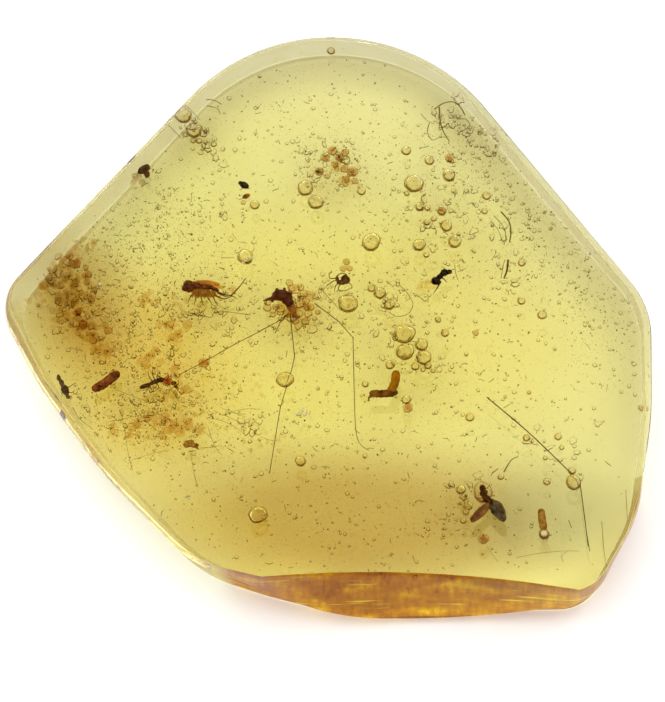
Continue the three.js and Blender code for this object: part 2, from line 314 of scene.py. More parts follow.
def smooth_path(points, steps):
    """A Catmull-Rom curve through the points, with `steps` short pieces between each two."""
    points = [Vector(p) for p in points]
    if len(points) < 3:
        return [points[0].lerp(points[-1], k / steps) for k in range(steps + 1)]
    ends = [2 * points[0] - points[1], *points, 2 * points[-1] - points[-2]]
    path = []
    for a, b, c, d in zip(ends, ends[1:], ends[2:], ends[3:]):
        square, cube = 2 * a - 5 * b + 4 * c - d, 3 * (b - c) + d - a
        for k in range(steps):
            t = k / steps
            path.append(0.5 * (2 * b + (c - a) * t + square * t**2 + cube * t**3))
    return path + [points[-1]]


def taper(path, start, end):
    """Radii that go evenly from one to the other along a path."""
    return [start + (end - start) * k / (len(path) - 1) for k in range(len(path))]


def apply_modifiers(obj):
    """Writes the modifiers' result into the object's own mesh."""
    bpy.context.view_layer.update()
    evaluated = obj.evaluated_get(bpy.context.evaluated_depsgraph_get())
    mesh = bpy.data.meshes.new_from_object(evaluated)
    obj.modifiers.clear()
    old = obj.data
    obj.data = mesh
    bpy.data.meshes.remove(old)


def fuse(shapes, name, voxel, materials):
    """One skin round overlapping shapes, softened where they meet. A smaller voxel keeps finer forms."""
    obj = shapes.make(name, materials)
    remesh = obj.modifiers.new("skin", "REMESH")
    remesh.mode = "VOXEL"
    remesh.voxel_size = voxel
    soften = obj.modifiers.new("soften", "SMOOTH")
    soften.factor = 0.5
    soften.iterations = 3
    apply_modifiers(obj)
    return obj


def join(main, *others):
    """Adds the other objects' meshes, and their materials, to the first."""
    for other in others:
        with bpy.context.temp_override(active_object=main, selected_editable_objects=[main, other]):
            bpy.ops.object.join()
    return main


def finish_piece(obj, replaces=()):
    obj.data.transform(Matrix.Scale(MM, 4))
    obj.data.shade_smooth()
    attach(obj, "root")
    if replaces:
        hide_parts(*replaces)


# ------------------------------------------------------------------ materials


def principled(name, **values):
    """A material with one Principled node. Values are its sockets, with _ for a space."""
    material = bpy.data.materials.new(name)
    material.use_nodes = True
    tree = material.node_tree
    node = tree.nodes["Principled BSDF"]
    for key, value in values.items():
        node.inputs[key.replace("_", " ")].default_value = value
    return material, tree, node


def feed(tree, socket, value):
    """Sets a socket to a value, or links it from another node's output."""
    if isinstance(value, bpy.types.NodeSocket):
        tree.links.new(value, socket)
    else:
        socket.default_value = value


def add_node(tree, kind, inputs, **settings):
    """A node of a kind. Each input, by name or number, takes a value or another node's output."""
    node = tree.nodes.new("ShaderNode" + kind)
    for key, value in settings.items():
        setattr(node, key, value)
    for key, value in inputs.items():
        feed(tree, node.inputs[key], value)
    return node


def add_volume(tree, colour, density):
    """Plain absorption: `density` is per metre."""
    absorb = add_node(tree, "VolumeAbsorption", {"Color": (*colour, 1), "Density": density})
    feed(tree, tree.nodes["Material Output"].inputs["Volume"], absorb.outputs["Volume"])


def mix(tree, factor, a, b, blend_type="MIX"):
    inputs = {"Factor": factor, "A": a, "B": b}
    return add_node(tree, "Mix", inputs, data_type="RGBA", blend_type=blend_type).outputs["Result"]


def grain(tree, scale, detail=4.0):
    """Noise over a piece. A scale of three numbers draws it out by a different one along each axis."""
    place = add_node(tree, "TexCoord", {}).outputs["Object"]
    if isinstance(scale, tuple):
        place = add_node(tree, "Mapping", {"Vector": place, "Scale": scale}).outputs["Vector"]
        scale = 1.0
    return add_node(tree, "TexNoise", {"Vector": place, "Scale": scale, "Detail": detail}).outputs["Fac"]


def colour_ramp(tree, factor, colours):
    """A ramp through colours, each (place, (r, g, b))."""
    node = add_node(tree, "ValToRGB", {"Fac": factor})
    stops = node.color_ramp.elements
    stops[0].position, stops[1].position = colours[0][0], colours[-1][0]
    stops[0].color, stops[1].color = (*colours[0][1], 1), (*colours[-1][1], 1)
    for position, colour in colours[1:-1]:
        stops.new(position).color = (*colour, 1)
    return node.outputs["Color"]


def noise_colour(tree, node, scale, colours, detail=4.0):
    """Colours a material with a ramp over fine noise."""
    feed(tree, node.inputs["Base Color"], colour_ramp(tree, grain(tree, scale, detail), colours))


def add_bump(tree, node, height, distance):
    bump = add_node(tree, "Bump", {"Height": height, "Distance": distance})
    feed(tree, node.inputs["Normal"], bump.outputs["Normal"])


COPAL_IOR = 1.54
GROUND_IOR = 1.18  # softened, so that the matt ground side does not mirror the white room
SIDE_IOR = 1.03  # softened, so that the matt lower side lets light in instead of mirroring the floor
COPAL_ABSORBS = (0.965, 0.935, 0.50)
COPAL_DENSITY = 60.0
CLEAR = (1, 1, 1, 1)
WRINKLE, SCRATCH, GRIT = 0.00004, 0.00005, 0.00006  # metres that a bump stands out

# Tones of the back, partly painted shade and light, each multiplied over the last: place, half-size along
# x and y, how soft its edge is, and its colour.
TONES = [
    (2, -2, 36, 17, 0.5, (1.0, 0.96, 0.66)),
    (2, 22, 32, 14, 0.5, (0.985, 0.985, 0.82)),
    # painted shade: a darker band low down, where less light comes through
    (2, -28.5, 26, 9, 0.6, (0.66, 0.48, 0.22)),
    (-27, -8, 12, 12, 0.7, (0.95, 0.80, 0.50)),
    (-35, 2, 7, 9, 0.6, (0.74, 0.62, 0.36)),
    (31, -28, 10, 6, 0.7, (0.80, 0.82, 0.92)),
]


def tone_colour(tree, node):
    """Colours a transmitting face with the soft-edged ovals in TONES."""
    place = add_node(tree, "TexCoord", {}).outputs["Object"]
    colour = CLEAR
    for x, y, half_x, half_y, soft, tint in TONES:
        oval = {"Vector": place, "Location": (x * MM, y * MM, 0), "Scale": (half_x * MM, half_y * MM, 1)}
        mapping = add_node(tree, "Mapping", oval, vector_type="TEXTURE")
        length = add_node(tree, "VectorMath", {0: mapping.outputs["Vector"]}, operation="LENGTH")
        edge = {"Value": length.outputs["Value"], "From Min": 1 + soft, "From Max": 1 - soft}
        fade = add_node(tree, "MapRange", edge, interpolation_type="SMOOTHSTEP")
        colour = mix(tree, fade.outputs["Result"], colour, (*tint, 1), "MULTIPLY")
    feed(tree, node.inputs["Base Color"], colour)


def copal_material(name, **values):
    """A face of the clear yellow resin."""
    values = {"Transmission_Weight": 1.0, "IOR": COPAL_IOR, "Roughness": 0.0, **values}
    material, tree, node = principled(name, **values)
    add_volume(tree, COPAL_ABSORBS, COPAL_DENSITY)
    return material, tree, node


def front_material():
    """The polished front and shoulder."""
    material, tree, node = copal_material("copal_front")
    noise_colour(tree, node, 38, [(0.35, (1.0, 0.985, 0.93)), (0.65, (1.0, 1.0, 1.0))], detail=2.0)
    return material


def back_material():
    """The back, with soft tones: partly the resin's own uneven colour, partly painted shade and light for
    how much light comes through the back.
    """
    material, tree, node = copal_material("copal_back")
    tone_colour(tree, node)
    return material


def side_material():
    """The straight lower side, which the polishing left matt."""
    material, tree, node = copal_material("copal_side", IOR=SIDE_IOR, Roughness=0.2)
    noise_colour(tree, node, 300, [(0.35, (0.97, 0.93, 0.62)), (0.6, (1.0, 0.99, 0.78))])
    return material


def rim_shade_material():
    """A thin brown band along the rim: painted shade for the dark line that refraction draws at the edge.
    """
    values = {"Transmission_Weight": 0.4, "IOR": SIDE_IOR, "Roughness": 0.4}
    material, tree, node = copal_material("copal_rim_shade", **values)
    noise_colour(tree, node, 500, [(0.35, (0.03, 0.014, 0.005)), (0.65, (0.14, 0.07, 0.02))])
    return material


GROUND_BROWNS = [
    (0.6, (0.26, 0.04, 0.0)),
    (0.75, (0.44, 0.10, 0.0)),
    (0.86, (0.62, 0.18, 0.0)),
    (1.0, (0.95, 0.50, 0.0)),
]
# painted glints: bright yellow spots in the ground side's colour, standing in for light seen through it
GLINT_YELLOW = (1.0, 0.80, 0.02, 1)


def ground_material(name, roughness):
    """The side that is ground straight: amber-brown, with upright scratches, patches and painted glints.
    """
    material, tree, node = copal_material(name, IOR=GROUND_IOR, Roughness=roughness)
    scratches = grain(tree, (1400, 1400, 70), 5.0)
    patches = grain(tree, (170, 170, 300), 5.0)
    glints = grain(tree, (130, 130, 1300), 2.0)
    both = add_node(tree, "Math", {0: scratches, 1: 0.5, 2: patches}, operation="MULTIPLY_ADD")
    browns = colour_ramp(tree, both.outputs["Value"], GROUND_BROWNS)
    shine = add_node(tree, "MapRange", {"Value": glints, "From Min": 0.64, "From Max": 0.72})
    lit = mix(tree, shine.outputs["Result"], browns, GLINT_YELLOW)
    share = add_node(tree, "Attribute", {}, attribute_name="ground").outputs["Fac"]
    feed(tree, node.inputs["Base Color"], mix(tree, share, CLEAR, lit))
    add_bump(tree, node, scratches, SCRATCH)
    return material


def bubble_material():
    """The wall of a gas bubble, whose index is softened so that only its edge shows, as a thin ring."""
    material, tree, node = principled("bubble_wall", Transmission_Weight=1.0, IOR=1.2, Roughness=0.0)
    noise_colour(tree, node, 900, [(0.3, (0.96, 0.93, 0.82)), (0.7, (1.0, 1.0, 0.98))])
    return material


def stain_material(name, colour, density, ior=1.0, scale=600):
    """Coloured resin in the clear one: a body that only absorbs."""
    material, tree, node = principled(name, Transmission_Weight=1.0, IOR=ior, Roughness=0.0)
    noise_colour(tree, node, scale, [(0.3, (0.93, 0.88, 0.78)), (0.7, (1.0, 1.0, 1.0))])
    add_volume(tree, colour, density)
    return material


def chitin_material(name, dark, light, transmission, scale=1500):
    """Shell of an insect: mottled brown, let through where it is thin, with a fine wrinkle."""
    values = {"IOR": 1.12, "Roughness": 0.3, "Coat_Weight": 0.15, "Coat_Roughness": 0.2}
    material, tree, node = principled(name, Transmission_Weight=transmission, **values)
    noise_colour(tree, node, scale, [(0.35, dark), (0.68, light)])
    add_bump(tree, node, grain(tree, scale * 2), WRINKLE)
    return material


def grainy_material(name, dark, light, transmission=0.0, scale=2200, roughness=0.7):
    """Dull plant matter or frass: packed grains of two browns."""
    values = {"Transmission_Weight": transmission, "IOR": 1.05, "Roughness": roughness}
    material, tree, node = principled(name, **values)
    noise_colour(tree, node, scale, [(0.36, dark), (0.62, light)], detail=6.0)
    add_bump(tree, node, grain(tree, scale), GRIT)
    return material


# ------------------------------------------------------------------ the clear copal

# Gas bubbles large enough to be seen one by one: place and radius.
BUBBLES = [
    # round the middle of the upper right
    (12.0, 19.8, 1.2), (11.0, 18.3, 0.35), (6.0, 11.0, 1.25), (10.9, 24.9, 0.6), (14.2, 23.2, 0.6),
    (16.9, 21.2, 0.85), (15.9, 15.7, 0.6), (16.5, 13.5, 0.75), (17.7, 11.1, 0.85), (12.8, 16.2, 0.5),
    (13.9, 16.2, 0.4), (13.8, 13.9, 0.4), (14.8, 14.4, 0.4), (22.2, 17.9, 0.55), (21.9, 15.8, 0.4),
    (12.7, 10.7, 0.8), (13.7, 9.2, 0.4), (29.9, 0.2, 0.6), (27.0, 2.4, 0.5), (27.1, 8.1, 0.5),
    # the cluster right of the middle
    (2.7, 1.8, 1.25), (10.6, -2.5, 1.35), (10.7, -5.1, 1.15), (13.0, -4.3, 0.85), (13.3, -6.0, 1.0),
    (12.1, -7.4, 0.5), (13.2, -7.9, 0.3), (13.9, -7.4, 0.45), (14.6, -8.1, 0.3), (9.3, -3.4, 0.3),
    (15.3, -0.4, 0.4), (13.8, -2.4, 0.25), (8.6, -7.1, 0.6), (16.3, -2.5, 0.5), (8.5, 1.6, 0.75),
    (6.0, 4.1, 0.5), (7.2, 3.4, 0.8), (10.8, -12.4, 0.55), (5.1, -9.9, 0.45),
    # along the long fibre
    (34.1, -24.2, 1.0), (33.9, -22.5, 0.5), (19.7, -14.7, 0.55), (27.6, -17.8, 0.45), (32.0, -17.5, 0.45),
    (32.5, -19.1, 0.3), (30.2, -20.7, 0.3), (30.4, -24.0, 0.45),
    # beside the fly
    (18.4, -25.4, 0.6), (18.8, -26.5, 0.4), (19.4, -27.6, 0.55), (19.1, -28.6, 0.4), (18.7, -29.8, 0.4),
    (24.0, -23.4, 0.4),
    # left and top
    (-11.7, 8.9, 1.0), (-3.3, 19.2, 1.0), (-1.8, 16.9, 0.95), (-19.0, 27.9, 1.0), (-20.4, 29.9, 0.95),
    (-19.1, 26.3, 0.4), (-18.3, 26.2, 0.4), (-16.2, 25.6, 0.4), (-6.1, -9.4, 1.1), (-9.9, -29.0, 1.2),
    (-4.0, -21.2, 0.7), (0.3, 40.0, 0.5), (-10.4, 16.6, 0.6), (4.6, 18.6, 0.55),
]
VOID, FILM_INSIDE, FILM_OUTSIDE = 0.97, 0.99, 1.03  # shares of a bubble's radius
SMALL_BUBBLE = 0.7  # the radius below which a bubble is nearly round

FRONT, BACK, GROUND, LOWER_GROUND, SIDE, RIM_SHADE, WALL = range(7)  # the materials of the copal's mesh

FINE = 1.5, 0.8  # degrees and millimetres between the points of a ring

# Shares at which the loft has a ring. Those near an end keep the edge there crisp.
FRONT_SHARES = (0.12, 0.25, 0.4, 0.55, 0.7, 0.82, 0.91, 0.96, 0.985, 0.998)
SIDE_SHARES = [math.sin(math.pi / 2 * k / 16) for k in range(17)]
BACK_SHARES = (0.99, 0.9, 0.5, 0.1, 0.01, 0)
FLAT_SHARES = (0.9995, 0.99, 0.9, 0.7, 0.5, 0.3, 0.12)
RIM_ROW = len(FRONT_SHARES) + len(SIDE_SHARES) - 1
GROUND_START = 4  # how fast the ground side takes its colour where it begins
RIM_SHADE_ROWS = 5  # rings down to the rim that carry the painted brown shade line
RIM_SHADE_FROM, RIM_SHADE_TO = -25, 172  # degrees round the rim between which the painted shade line is drawn


def pebble_rings(rim):
    """The loft's rings: out over the front, down the side to the rim, and in over the back."""
    front_edge = rounded_outline(FRONT_EDGE, *FINE)
    edge = [Vector(p) for p in side_ring(rim, front_edge, 0)]
    front = [[(p.x * t, p.y * t, front_plane(p.x * t, p.y * t)) for p in edge] for t in FRONT_SHARES]
    side = [side_ring(rim, front_edge, share) for share in SIDE_SHARES]
    lower = [back_ring(rim, share) for share in BACK_SHARES]
    flat = [[(x * share, y * share, 0) for x, y, _ in lower[-1]] for share in FLAT_SHARES]
    return front + side + lower + flat


def pebble_look(row, is_ground, has_rim_shade):
    """The material between a ring and the next."""
    if row >= RIM_ROW + len(BACK_SHARES):
        return BACK
    if row >= RIM_ROW:
        return LOWER_GROUND if is_ground else SIDE
    if is_ground and row >= len(FRONT_SHARES):
        return GROUND
    return RIM_SHADE if has_rim_shade and row >= RIM_ROW - RIM_SHADE_ROWS else FRONT


def loft_pebble(shapes):
    """The pebble's surface, the first in its mesh. Gives for each point how far it is ground."""
    rim = rounded_outline(RIM, *FINE)
    rings = pebble_rings(rim)
    verts = [(0, 0, THICKNESS), *(p for ring in rings for p in ring), (0, 0, 0)]
    shapes.verts += [(x * INSET, y * INSET, z * INSET) for x, y, z in verts]
    n = len(rim)
    ground = [min(1.0, GROUND_START * ground_share(p)) for p in rim]
    for k in range(n):
        j = (k + 1) % n
        is_ground = ground[k] + ground[j] > 0
        has_rim_shade = RIM_SHADE_FROM < math.degrees(math.atan2(rim[k].y, rim[k].x)) < RIM_SHADE_TO
        shapes.face((0, 1 + k, 1 + j), FRONT)
        for row in range(len(rings) - 1):
            a = 1 + row * n
            shapes.face((a + k, a + n + k, a + n + j, a + j), pebble_look(row, is_ground, has_rim_shade))
        end = 1 + (len(rings) - 1) * n
        shapes.face((len(verts) - 1, end + j, end + k), BACK)
    return [0.0, *(ground * len(rings)), 0.0]


PLAN = rounded_outline(RIM, 9, 4)


def inside_pebble(x, y, margin):
    """Whether a place in plan lies in the pebble, at least `margin` in from the rim."""
    place = Vector((x, y))
    return place.length < reach(PLAN, place) - margin


def bubble_places():
    """Centre, radii, turn and seed of each large bubble."""
    rng = random.Random(11)
    for x, y, r in BUBBLES:
        centre = on_seam(x, y, rng.uniform(-0.8, 0.8))
        radii = (r * rng.uniform(0.92, 1.08), r * rng.uniform(0.92, 1.08), r)
        yield centre, radii, rng.uniform(0, 180), x


def uneven(radii):
    """How uneven a bubble's outline is."""
    return 0.05 if radii[2] < SMALL_BUBBLE else 0.12


def scaled(radii, share):
    return [r * share for r in radii]


def build_copal():
    shapes = Shapes()
    grounds = loft_pebble(shapes)
    for centre, radii, turn, seed in bubble_places():
        shapes.ball(centre, scaled(radii, VOID), turn, 24, uneven(radii), seed, look=WALL, inward=True)
    ground_looks = [ground_material("copal_ground", 0.12), ground_material("copal_lower_ground", 0.5)]
    looks = [front_material(), back_material(), *ground_looks, side_material(), rim_shade_material()]
    copal = shapes.make("copal", [*looks, bubble_material()])
    on_voids = [0.0] * (len(shapes.verts) - len(grounds))
    copal.data.attributes.new("ground", "FLOAT", "POINT").data.foreach_set("value", grounds + on_voids)
    return copal


finish_piece(build_copal(), replaces=("copal_front", "copal_back"))

# ------------------------------------------------------------------ insects

LEG = 0.07  # radius of the large insect's legs


def add_strands(shapes, strands, lift=0.0):
    """Legs, feelers or hairs on the seam: points (x, y), and the radius at the start and at the end."""
    for points, start, end in strands:
        path = smooth_path([on_seam(x, y, lift) for x, y in points], 4)
        shapes.tube(path, taper(path, start, end), 6)


def add_jointed_legs(shapes, lines):
    """Long straight-segmented legs, a little thicker at each joint."""
    for points in lines:
        path = [on_seam(x, y) for x, y in points]
        shapes.tube(path, taper(path, LEG, LEG * 0.7), 6)
        for joint in path[1:-1]:
            shapes.ball(joint, (LEG * 1.35,) * 3, 0, 8)


def body(shapes, x, y, size, turn=0.0, rough=0.12, seed=1, lift=0.0, look=0, tilt=0.0):
    shapes.ball(on_seam(x, y, lift), size, turn, 20, rough, seed, look, tilt=tilt)


def add_bodies(shapes, bodies):
    """Round bodies on the seam, each (x, y, size, turn, rough, seed)."""
    for values in bodies:
        body(shapes, *values)


def grown(name, voxel, material, bodies, strands=()):
    """One skin of one material round bodies and strands."""
    shapes = Shapes()
    add_bodies(shapes, bodies)
    add_strands(shapes, strands)
    return fuse(shapes, name, voxel, [material])


def build_long_legged_insect():
    dark = chitin_material("maroon_chitin", (0.045, 0.010, 0.006), (0.16, 0.040, 0.018), 0.2)
    amber = chitin_material("amber_chitin", (0.36, 0.13, 0.03), (0.75, 0.42, 0.11), 0.7, 900)
    bodies = [
        (-6.7, 3.2, (1.2, 0.8, 0.75), 8, 0.4),
        (-5.9, 2.6, (0.75, 0.75, 0.7), -35, 0.4, 4),
        (-5.5, 1.9, (0.6, 0.7, 0.6), -30, 0.12, 6),
        (-7.6, 2.9, (0.5, 0.4, 0.4), 20),
    ]
    bumps = (-7.3, 3.9, 0.3), (-6.2, 4.0, 0.26), (-5.4, 3.3, 0.3), (-7.9, 2.2, 0.2), (-6.3, 2.1, 0.3)
    bodies += [(x, y, (r, r * 0.8, r), x * 40, 0.5, x) for x, y, r in bumps]
    beak = [
        ([(-6.6, 2.5), (-7.8, 2.5), (-9.2, 2.3)], 0.28, 0.1),
        ([(-6.9, 2.8), (-8.2, 2.7), (-8.9, 2.5)], 0.2, 0.08),
    ]
    skin = grown("long_legged_body", 0.07, dark, bodies, beak)
    segments = []
    for k in range(5):
        size = (0.72 - 0.09 * k, 0.3, 0.5 - 0.05 * k)
        segments.append((-5.3 + 0.16 * k, 1.4 - 0.42 * k, size, 20, 0.12, k))
    lower = grown("long_legged_abdomen", 0.07, amber, segments)
    limbs = Shapes()
    add_jointed_legs(limbs, [
        [(-5.6, 0.4), (-7.2, -0.8), (-10.9, -2.9), (-12.5, -3.7), (-16.5, -6.1), (-21.0, -8.6)],
        [(-5.6, 0.5), (-6.8, -0.9), (-7.5, -2.5)],
        [(-5.4, 0.3), (-5.1, -2.9), (-4.8, -5.9), (-5.1, -7.5), (-6.8, -13.5), (-8.3, -23.1)],
        [(-2.0, 1.9), (1.5, -0.9), (3.4, -3.2), (3.6, -13.7)],
    ])
    add_strands(limbs, [
        ([(3.6, -13.7), (3.8, -17.0), (4.4, -18.8), (5.6, -19.7)], LEG * 0.7, LEG * 0.5),
        ([(-5.6, 3.3), (-5.6, 3.9), (-5.7, 4.4)], 0.08, 0.04),
    ])
    legs = limbs.make("long_legged_legs", [dark])
    finish_piece(join(skin, lower, legs), replaces=("long_legged_insect",))


def build_planthopper():
    dark = chitin_material("red_brown_chitin", (0.07, 0.012, 0.006), (0.27, 0.075, 0.022), 0.25, 1900)
    amber = chitin_material("abdomen_amber", (0.30, 0.11, 0.02), (0.62, 0.33, 0.07), 0.6, 1300)
    wing = chitin_material("wing_orange", (0.65, 0.30, 0.05), (0.95, 0.62, 0.20), 0.85, 1600)
    bodies = [
        (-19.6, 4.5, (0.85, 0.95, 0.8), 10, 0.25),
        (-20.2, 4.2, (0.45, 0.5, 0.5), 0, 0.12, 3),
        (-18.6, 4.6, (1.0, 0.62, 0.7), -4, 0.3, 5),
        (-17.3, 4.4, (1.2, 0.45, 0.6), -6, 0.3, 6),
        (-16.1, 4.1, (0.8, 0.3, 0.45), -22, 0.2, 8),
    ]
    skin = grown("planthopper_back", 0.065, dark, bodies)
    segments = []
    for k in range(8):
        narrow = 1 - 0.055 * abs(k - 2)
        size = (0.2, 0.85 * narrow, 0.6 * narrow)
        segments.append((-19.0 + 0.42 * k, 3.6 - 0.04 * k, size, -14, 0.2, k))
    lower = grown("planthopper_belly", 0.065, amber, segments)
    wings = Shapes()
    body(wings, -17.0, 4.95, (1.75, 0.36, 0.12), -6, 0.3, 2, lift=0.25, tilt=8)
    body(wings, -16.4, 4.7, (1.6, 0.42, 0.1), -14, 0.3, 9, lift=-0.2)
    veils = wings.make("planthopper_wings", [wing])
    limbs = Shapes()
    add_strands(limbs, [
        ([(-16.0, 3.9), (-14.9, 3.3), (-13.6, 3.05), (-12.9, 2.6)], 0.16, 0.05),
        ([(-13.7, 3.1), (-12.6, 4.3), (-11.6, 5.7)], 0.11, 0.06),
        ([(-15.9, 3.1), (-14.7, 2.6), (-13.6, 3.0)], 0.13, 0.06),
        ([(-15.6, 3.5), (-14.6, 3.0), (-13.9, 2.9)], 0.1, 0.05),
    ])
    hips = (-19.3, 3.2, -0.5), (-18.6, 2.9, -0.3), (-17.9, 2.8, 0.3), (-16.9, 2.8, 0.6), (-16.2, 2.9, 0.5)
    for x, y, stride in hips:
        leg = [(x, y), (x + stride * 0.4, y - 0.5), (x + stride, y - 1.1)]
        add_strands(limbs, [(leg, 0.09, 0.04)])
    legs = limbs.make("planthopper_legs", [dark])
    finish_piece(join(skin, lower, veils, legs), replaces=("planthopper",))


def build_black_ant():
    black = chitin_material("black_chitin", (0.006, 0.004, 0.004), (0.035, 0.016, 0.014), 0.0)
    bodies = [
        (15.0, 5.2, (0.62, 0.62, 0.6), 45, 0.15),
        (15.6, 5.8, (0.5, 0.42, 0.45), 40, 0.12, 3),
        (16.2, 6.4, (0.62, 0.5, 0.55), 25, 0.2, 4),
        (16.9, 6.55, (0.42, 0.36, 0.4), 10, 0.12, 5),
        (15.5, 5.0, (0.3, 0.3, 0.3), 10, 0.12, 7),
    ]
    legs = [
        ([(15.7, 5.2), (15.3, 4.3), (14.6, 3.2)], 0.15, 0.05),
        ([(15.9, 5.7), (16.4, 5.2), (16.6, 4.9)], 0.1, 0.05),
        ([(17.0, 6.6), (17.5, 6.9), (17.8, 6.8)], 0.08, 0.04),
        ([(16.4, 6.7), (16.2, 7.1), (15.8, 7.3)], 0.08, 0.04),
    ]
    skin = grown("black_ant_body", 0.05, black, bodies, legs)
    finish_piece(skin, replaces=("black_ant",))


def build_ant():
    brown = chitin_material("brown_chitin", (0.025, 0.010, 0.004), (0.14, 0.055, 0.016), 0.1)
    bodies = [
        (-25.7, -10.2, (0.85, 0.36, 0.45), 22, 0.2),
        (-24.8, -9.8, (0.42, 0.3, 0.35), 20, 0.12, 2),
        (-24.2, -9.55, (0.5, 0.36, 0.4), 15, 0.12, 3),
        (-23.5, -9.3, (0.46, 0.42, 0.45), 10, 0.12, 5),
    ]
    legs = []
    raised = (-24.6, -9.6, -25.3, -7.9), (-24.3, -9.4, -24.6, -7.5), (-24.0, -9.3, -23.6, -8.0)
    for x, y, tip_x, tip_y in raised:
        knee = (x + tip_x) / 2 - 0.25, (y + tip_y) / 2
        legs.append(([(x, y), knee, (tip_x, tip_y)], 0.09, 0.05))
    legs.append(([(-25.0, -10.1), (-25.4, -10.7), (-26.3, -10.9)], 0.08, 0.05))
    legs.append(([(-24.1, -9.8), (-23.8, -10.4), (-24.2, -10.9)], 0.08, 0.05))
    skin = grown("ant_body", 0.05, brown, bodies, legs)
    finish_piece(skin, replaces=("ant",))


def build_gnat():
    dusky = chitin_material("dusky_chitin", (0.030, 0.014, 0.012), (0.16, 0.09, 0.05), 0.1, 1100)
    bodies = [
        (-36.9, -10.8, (0.8, 0.55, 0.6), -65, 0.35),
        (-37.4, -9.8, (0.6, 0.36, 0.4), -70, 0.2, 3),
        (-37.8, -9.0, (0.5, 0.28, 0.3), -75, 0.2, 4),
        (-36.5, -11.8, (0.36, 0.3, 0.3), -40, 0.2, 5),
    ]
    legs = [
        ([(-36.7, -10.6), (-36.0, -10.1), (-35.3, -9.7)], 0.09, 0.05),
        ([(-36.6, -11.1), (-36.0, -11.2), (-35.6, -10.9)], 0.08, 0.05),
        ([(-37.2, -10.9), (-37.4, -11.4), (-37.2, -11.8)], 0.08, 0.05),
    ]
    skin = grown("gnat_body", 0.055, dusky, bodies, legs)
    finish_piece(skin, replaces=("gnat",))


def build_winged_fly():
    dark = chitin_material("fly_chitin", (0.022, 0.008, 0.004), (0.11, 0.04, 0.012), 0.0)
    film = stain_material("fly_film", (0.86, 0.62, 0.16), 260, scale=900)
    edge = stain_material("fly_edge", (0.50, 0.20, 0.02), 5200, scale=900)
    tan_wing = chitin_material("fly_wing_tan", (0.13, 0.042, 0.010), (0.50, 0.20, 0.035), 0.35, 900)
    dark_wing = chitin_material("fly_wing_dark", (0.016, 0.010, 0.007), (0.17, 0.12, 0.06), 0.15, 1400)
    bodies = [
        (21.4, -25.1, (0.5, 0.42, 0.45), 80, 0.12, 2),
        (21.6, -25.9, (0.6, 0.55, 0.45), 60, 0.4, 3),
        (21.9, -26.6, (0.6, 0.48, 0.45), -50, 0.4, 4),
        (22.5, -27.0, (0.5, 0.36, 0.4), -50, 0.2, 5),
    ]
    legs = [
        ([(21.6, -25.4), (22.3, -24.9), (22.5, -24.3)], 0.07, 0.04),
        ([(21.9, -26.3), (21.1, -26.7), (20.6, -26.5)], 0.07, 0.04),
    ]
    skin = grown("winged_fly_body", 0.055, dark, bodies, legs)
    veils = Shapes()
    body(veils, 21.2, -28.6, (2.05, 0.62, 0.1), 44, 0.3, 6)
    body(veils, 23.5, -28.3, (1.85, 0.88, 0.12), -60, 0.3, 7, look=1)
    for k in range(4):
        path = [on_seam(22.7, -27.2, 0.12), on_seam(23.6 - 0.1 * k, -28.2 + 0.1 * k, 0.15)]
        path.append(on_seam(24.5 - 0.35 * k, -29.3 + 0.02 * k, 0.1))
        veils.tube(path, [0.05, 0.045, 0.02], 5, look=2)
    wings = veils.make("winged_fly_wings", [tan_wing, dark_wing, dark])
    shell = Shapes()
    shell.ball(on_seam(21.5, -25.7, 0.1), (1.1, 1.4, 0.8), 8, 24, 0.1)
    shell.ring(on_seam(21.5, -25.7, 0.1), (1.2, 1.5), 0.17, 8, 0, 36, 0.12, 3, 1)
    halo = shell.make("winged_fly_film", [film, edge])
    finish_piece(join(skin, wings, halo), replaces=("winged_fly",))


def build_spider():
    dark = chitin_material("spider_chitin", (0.05, 0.014, 0.006), (0.24, 0.085, 0.03), 0.2)
    bodies = [
        (2.35, 5.4, (0.62, 0.7, 0.6), 0, 0.3),
        (1.7, 4.95, (0.62, 0.36, 0.45), -8, 0.3, 3),
        (1.2, 5.5, (0.24, 0.4, 0.35), 10, 0.2, 4),
    ]
    legs = [
        ([(1.2, 5.3), (0.5, 5.1), (-0.1, 4.6), (-0.4, 4.4)], 0.1, 0.06),
        ([(1.2, 5.6), (0.2, 5.6), (0.1, 6.2), (0.5, 6.7)], 0.1, 0.05),
        ([(1.5, 5.0), (0.9, 4.3), (0.85, 3.3)], 0.1, 0.05),
        ([(1.9, 4.9), (1.4, 4.3), (1.4, 3.8), (2.1, 3.7), (2.9, 4.0), (3.3, 4.2)], 0.09, 0.06),
        ([(2.5, 5.0), (3.1, 4.7), (3.3, 4.2)], 0.09, 0.05),
        ([(1.1, 5.9), (1.8, 6.35), (2.6, 6.1)], 0.1, 0.07),
    ]
    skin = grown("spider_body", 0.05, dark, bodies, legs)
    finish_piece(skin, replaces=("spider",))


def build_beetle():
    black = chitin_material("beetle_chitin", (0.008, 0.005, 0.004), (0.05, 0.026, 0.014), 0.0, 1200)
    bodies = [
        (-11.9, 19.55, (0.72, 0.5, 0.42), -25, 0.15),
        (-12.5, 19.9, (0.24, 0.3, 0.25), -25, 0.12, 2),
    ]
    legs = [
        ([(-11.6, 19.2), (-11.2, 19.0), (-11.0, 19.2)], 0.07, 0.04),
        ([(-12.1, 19.2), (-12.3, 18.9), (-12.6, 18.9)], 0.07, 0.04),
    ]
    skin = grown("beetle_body", 0.05, black, bodies, legs)
    finish_piece(skin, replaces=("beetle",))


# ------------------------------------------------------------------ pellets, bark and fibres


def build_seed_husk():
    husk = grainy_material("husk_brown", (0.12, 0.035, 0.008), (0.36, 0.14, 0.03))
    bodies = [(-11.6, 17.9, (0.56, 0.36, 0.3), 30, 0.2)]
    legs = [([(-11.9, 17.7), (-12.5, 17.4), (-13.1, 17.6)], 0.07, 0.04)]
    skin = grown("husk", 0.05, husk, bodies, legs)
    finish_piece(skin, replaces=("seed_husk",))


